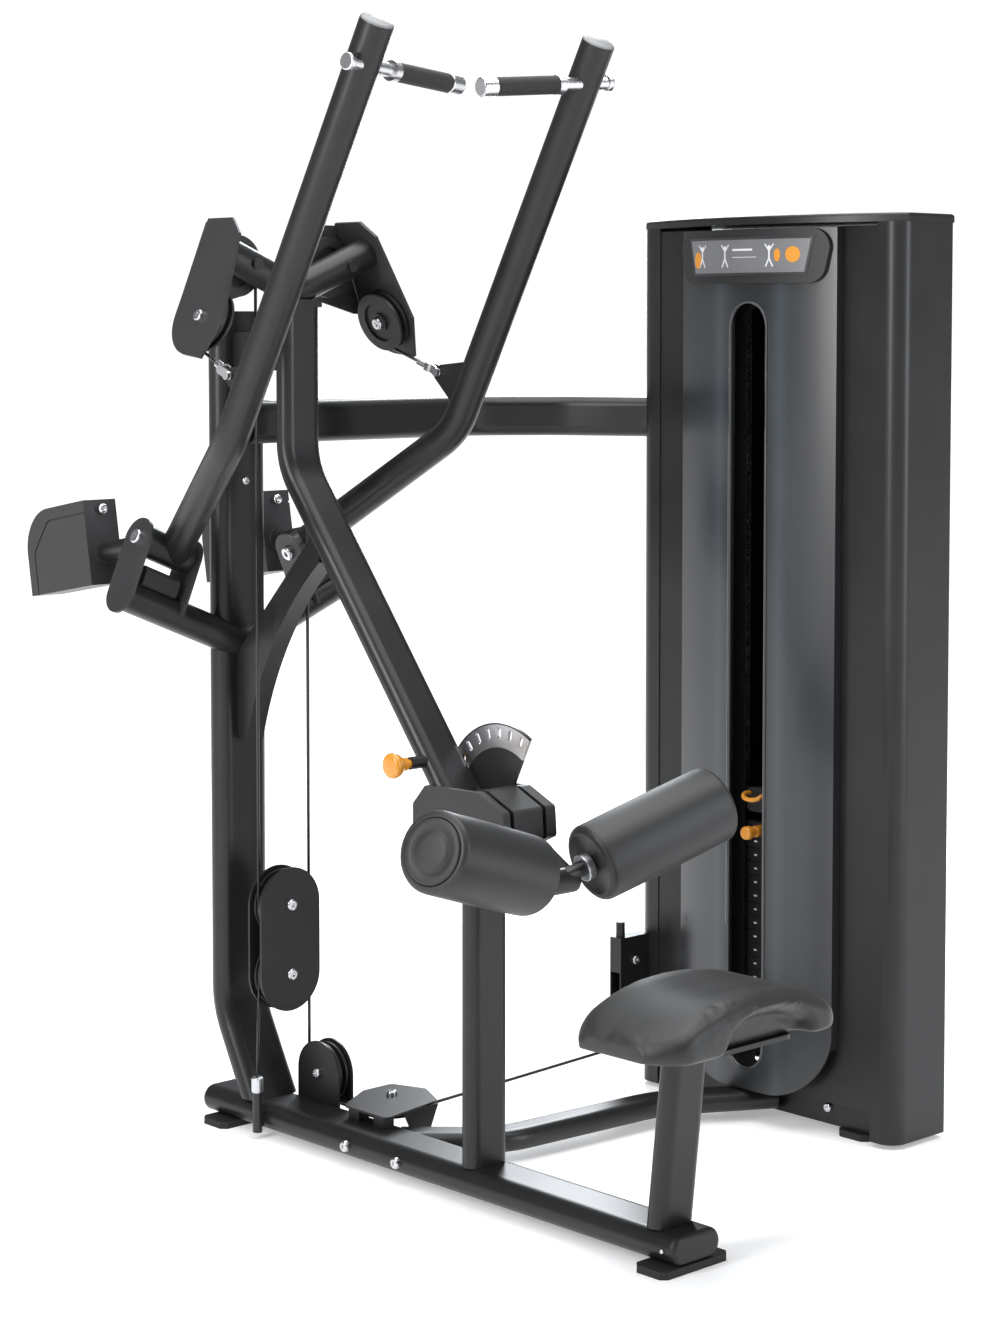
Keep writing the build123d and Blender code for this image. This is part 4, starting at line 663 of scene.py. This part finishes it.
def console_panel():
    """Grey instruction panel with plain pictograms: figures in bars, worked muscles as orange shapes."""
    half_z = (PANEL_Z1 - PANEL_Z0) / 2
    frame_line = [(-PANEL_HALF - 0.006, half_z + 0.005), (-PANEL_HALF + 0.010, -half_z - 0.005),
                  (PANEL_HALF - 0.010, -half_z - 0.005), (PANEL_HALF + 0.006, half_z + 0.005)]
    face_line = [(-PANEL_HALF, half_z), (-PANEL_HALF + 0.014, -half_z), (PANEL_HALF - 0.014, -half_z),
                 (PANEL_HALF, half_z)]
    console_patch("console_bezel", frame_line, BEZEL_LIFT, lip_material)
    console_patch("console_face", face_line, FACE_LIFT, panel_grey)
    figures = {"a": (0.115, 0.0), "b": (0.050, 0.0), "c": (-0.060, 0.0)}
    for tag, (y, z) in figures.items():
        hip, neck = (y, z - 0.004), (y, z + 0.009)
        strokes = [bar(hip, (y, z + 0.010), 0.0035)]
        strokes += [bar(neck, (y + reach, z + 0.022), 0.0025) for reach in (-0.010, 0.010)]
        strokes += [bar(hip, (y + stride, z - 0.020), 0.003) for stride in (-0.008, 0.008)]
        for number, stroke in enumerate(strokes):
            console_patch(f"figure_{tag}_{number}", stroke, INK_LIFT, white_ink)
        console_patch(f"figure_{tag}_head", oval(y, z + 0.0155, 0.0035, 0.004), INK_LIFT, white_ink)
    console_patch("muscle_a", oval(0.128, -0.006, 0.010, 0.016), INK_LIFT, orange)
    console_patch("muscle_b", oval(-0.078, 0.001, 0.007, 0.012), INK_LIFT, orange)
    console_patch("muscle_c", oval(-0.112, 0.002, 0.016, 0.015), INK_LIFT, orange)
    console_patch("rule_a", bar((0.030, -0.002), (-0.030, -0.002), 0.0012), INK_LIFT, white_ink)
    console_patch("rule_b", bar((0.030, 0.012), (-0.020, 0.012), 0.0040), INK_LIFT, white_ink)


console_panel()


# ---------------------------------------------------------------- small hardware
def button_bolt(name, place, direction, body, radius=0.010):
    """Button-head screw with a recessed socket."""
    dome = [(0.0, radius), (0.003, radius * 0.97), (0.0055, radius * 0.8), (0.0068, radius * 0.5),
            (0.0068, radius * 0.42), (0.0035, radius * 0.40), (0.0035, 0.0)]
    bolt = turned(name, place, direction, [(0.0, 0.0)] + dome, silver, 32)
    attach(bolt, body)


def lever_handle():
    """Orange finger loop of the add-on weight's lever, standing off its front."""
    low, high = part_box("add_on_weight")
    middle_z = (low[2] + high[2]) / 2
    face = low[0]
    curve = bpy.data.curves.new("lever_loop", "CURVE")
    curve.dimensions = "3D"
    curve.bevel_depth = 0.0045
    curve.bevel_resolution = 4
    spline = curve.splines.new("NURBS")
    points = [(face + 0.004, -0.022, 0.012), (face - 0.016, -0.024, 0.014), (face - 0.026, -0.016, 0.004),
              (face - 0.026, 0.016, 0.004), (face - 0.016, 0.024, 0.014), (face + 0.004, 0.022, 0.012)]
    spline.points.add(len(points) - 1)
    for point, (x, y, z) in zip(spline.points, points):
        point.co = (x, TOWER_MID_Y + y, middle_z + z, 1)
    spline.order_u = 3
    spline.use_endpoint_u = True
    loop = bpy.data.objects.new("lever_loop", curve)
    scene.collection.objects.link(loop)
    curve.materials.append(orange)
    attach(loop, "add_on_lever")


WEIGHT_TILT = math.radians(10)      # lean of the counterweight's front face

for side_name, sign in (("left", -1), ("right", 1)):
    weight_low, weight_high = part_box(f"counterweight_{side_name}")
    button_bolt(f"weight_bolt_{side_name}", (sign * 0.210, weight_low[1] + 0.0168, weight_high[2] - 0.017),
                (0, -math.cos(WEIGHT_TILT), math.sin(WEIGHT_TILT)), f"{side_name}_arm")
lever_handle()


# ---------------------------------------------------------------- floor and light
FLOOR_HALF = 60.0
FADE_FROM, FADE_TO, FLOOR_GLOW = 1.6, 4.5, 0.34


def floor():
    """Pale ground that fades to a white glow away from the object."""
    shader = Shader("pale_floor").set(Roughness=0.7, Specular_IOR_Level=0.1, Emission_Color=(1, 1, 1, 1))
    reach = shader.math("SQRT", shader.math("ADD", shader.math("POWER", shader.axis("X"), 2.0),
                                            shader.math("POWER", shader.axis("Y"), 2.0)))
    fade = shader.tree.nodes.new("ShaderNodeMapRange")
    fade.inputs["From Min"].default_value, fade.inputs["From Max"].default_value = FADE_FROM, FADE_TO
    fade.inputs["To Min"].default_value = FLOOR_GLOW
    shader.tree.links.new(reach, fade.inputs["Value"])
    shader.link(fade.outputs["Result"], "Emission Strength")
    shader.link(shader.ramp(shader.noise(3.0), [(0.3, (0.86, 0.86, 0.87)), (0.7, (0.88, 0.88, 0.89))]), "Base Color")
    corners = [(-FLOOR_HALF, -FLOOR_HALF, 0), (FLOOR_HALF, -FLOOR_HALF, 0), (FLOOR_HALF, FLOOR_HALF, 0),
               (-FLOOR_HALF, FLOOR_HALF, 0)]
    ground = mesh_piece("floor", corners, [(0, 1, 2, 3)], shader.material, smooth=False)


def softbox(name, place, target, size, power, colour):
    data = bpy.data.lights.new(name, "AREA")
    data.shape = "RECTANGLE"
    data.size, data.size_y = size
    data.energy = power
    data.color = colour
    lamp = bpy.data.objects.new(name, data)
    lamp.location = place
    lamp.rotation_euler = (Vector(target) - Vector(place)).to_track_quat("-Z", "Y").to_euler()
    scene.collection.objects.link(lamp)


def light():
    """White backdrop, dim even light from it, and four softboxes."""
    world = bpy.data.worlds.new("studio")
    world.use_nodes = True
    tree = world.node_tree
    seen = tree.nodes["Background"]
    seen.inputs["Strength"].default_value = 1.05
    seen.inputs["Color"].default_value = (1, 1, 1, 1)
    cast = tree.nodes.new("ShaderNodeBackground")
    cast.inputs["Color"].default_value = (0.93, 0.96, 1, 1)
    cast.inputs["Strength"].default_value = 0.24
    choose = tree.nodes.new("ShaderNodeMixShader")
    ray = tree.nodes.new("ShaderNodeLightPath")
    tree.links.new(ray.outputs["Is Camera Ray"], choose.inputs[0])
    tree.links.new(cast.outputs[0], choose.inputs[1])
    tree.links.new(seen.outputs[0], choose.inputs[2])
    tree.links.new(choose.outputs[0], tree.nodes["World Output"].inputs["Surface"])
    scene.world = world
    middle = (0.3, 0.6, 1.0)
    softbox("top", (0.3, 0.4, 4.4), middle, (4.0, 4.0), 190, (1, 1, 1))
    softbox("key", (-3.2, 0.6, 2.4), middle, (0.7, 2.6), 90, (1, 1, 1))
    softbox("fill", (1.6, -3.6, 1.9), middle, (0.6, 2.8), 60, (0.94, 0.97, 1))
    softbox("rim", (2.8, 3.0, 2.6), middle, (0.8, 2.8), 90, (0.92, 0.96, 1))
    scene.view_settings.view_transform = "Standard"


floor()
light()
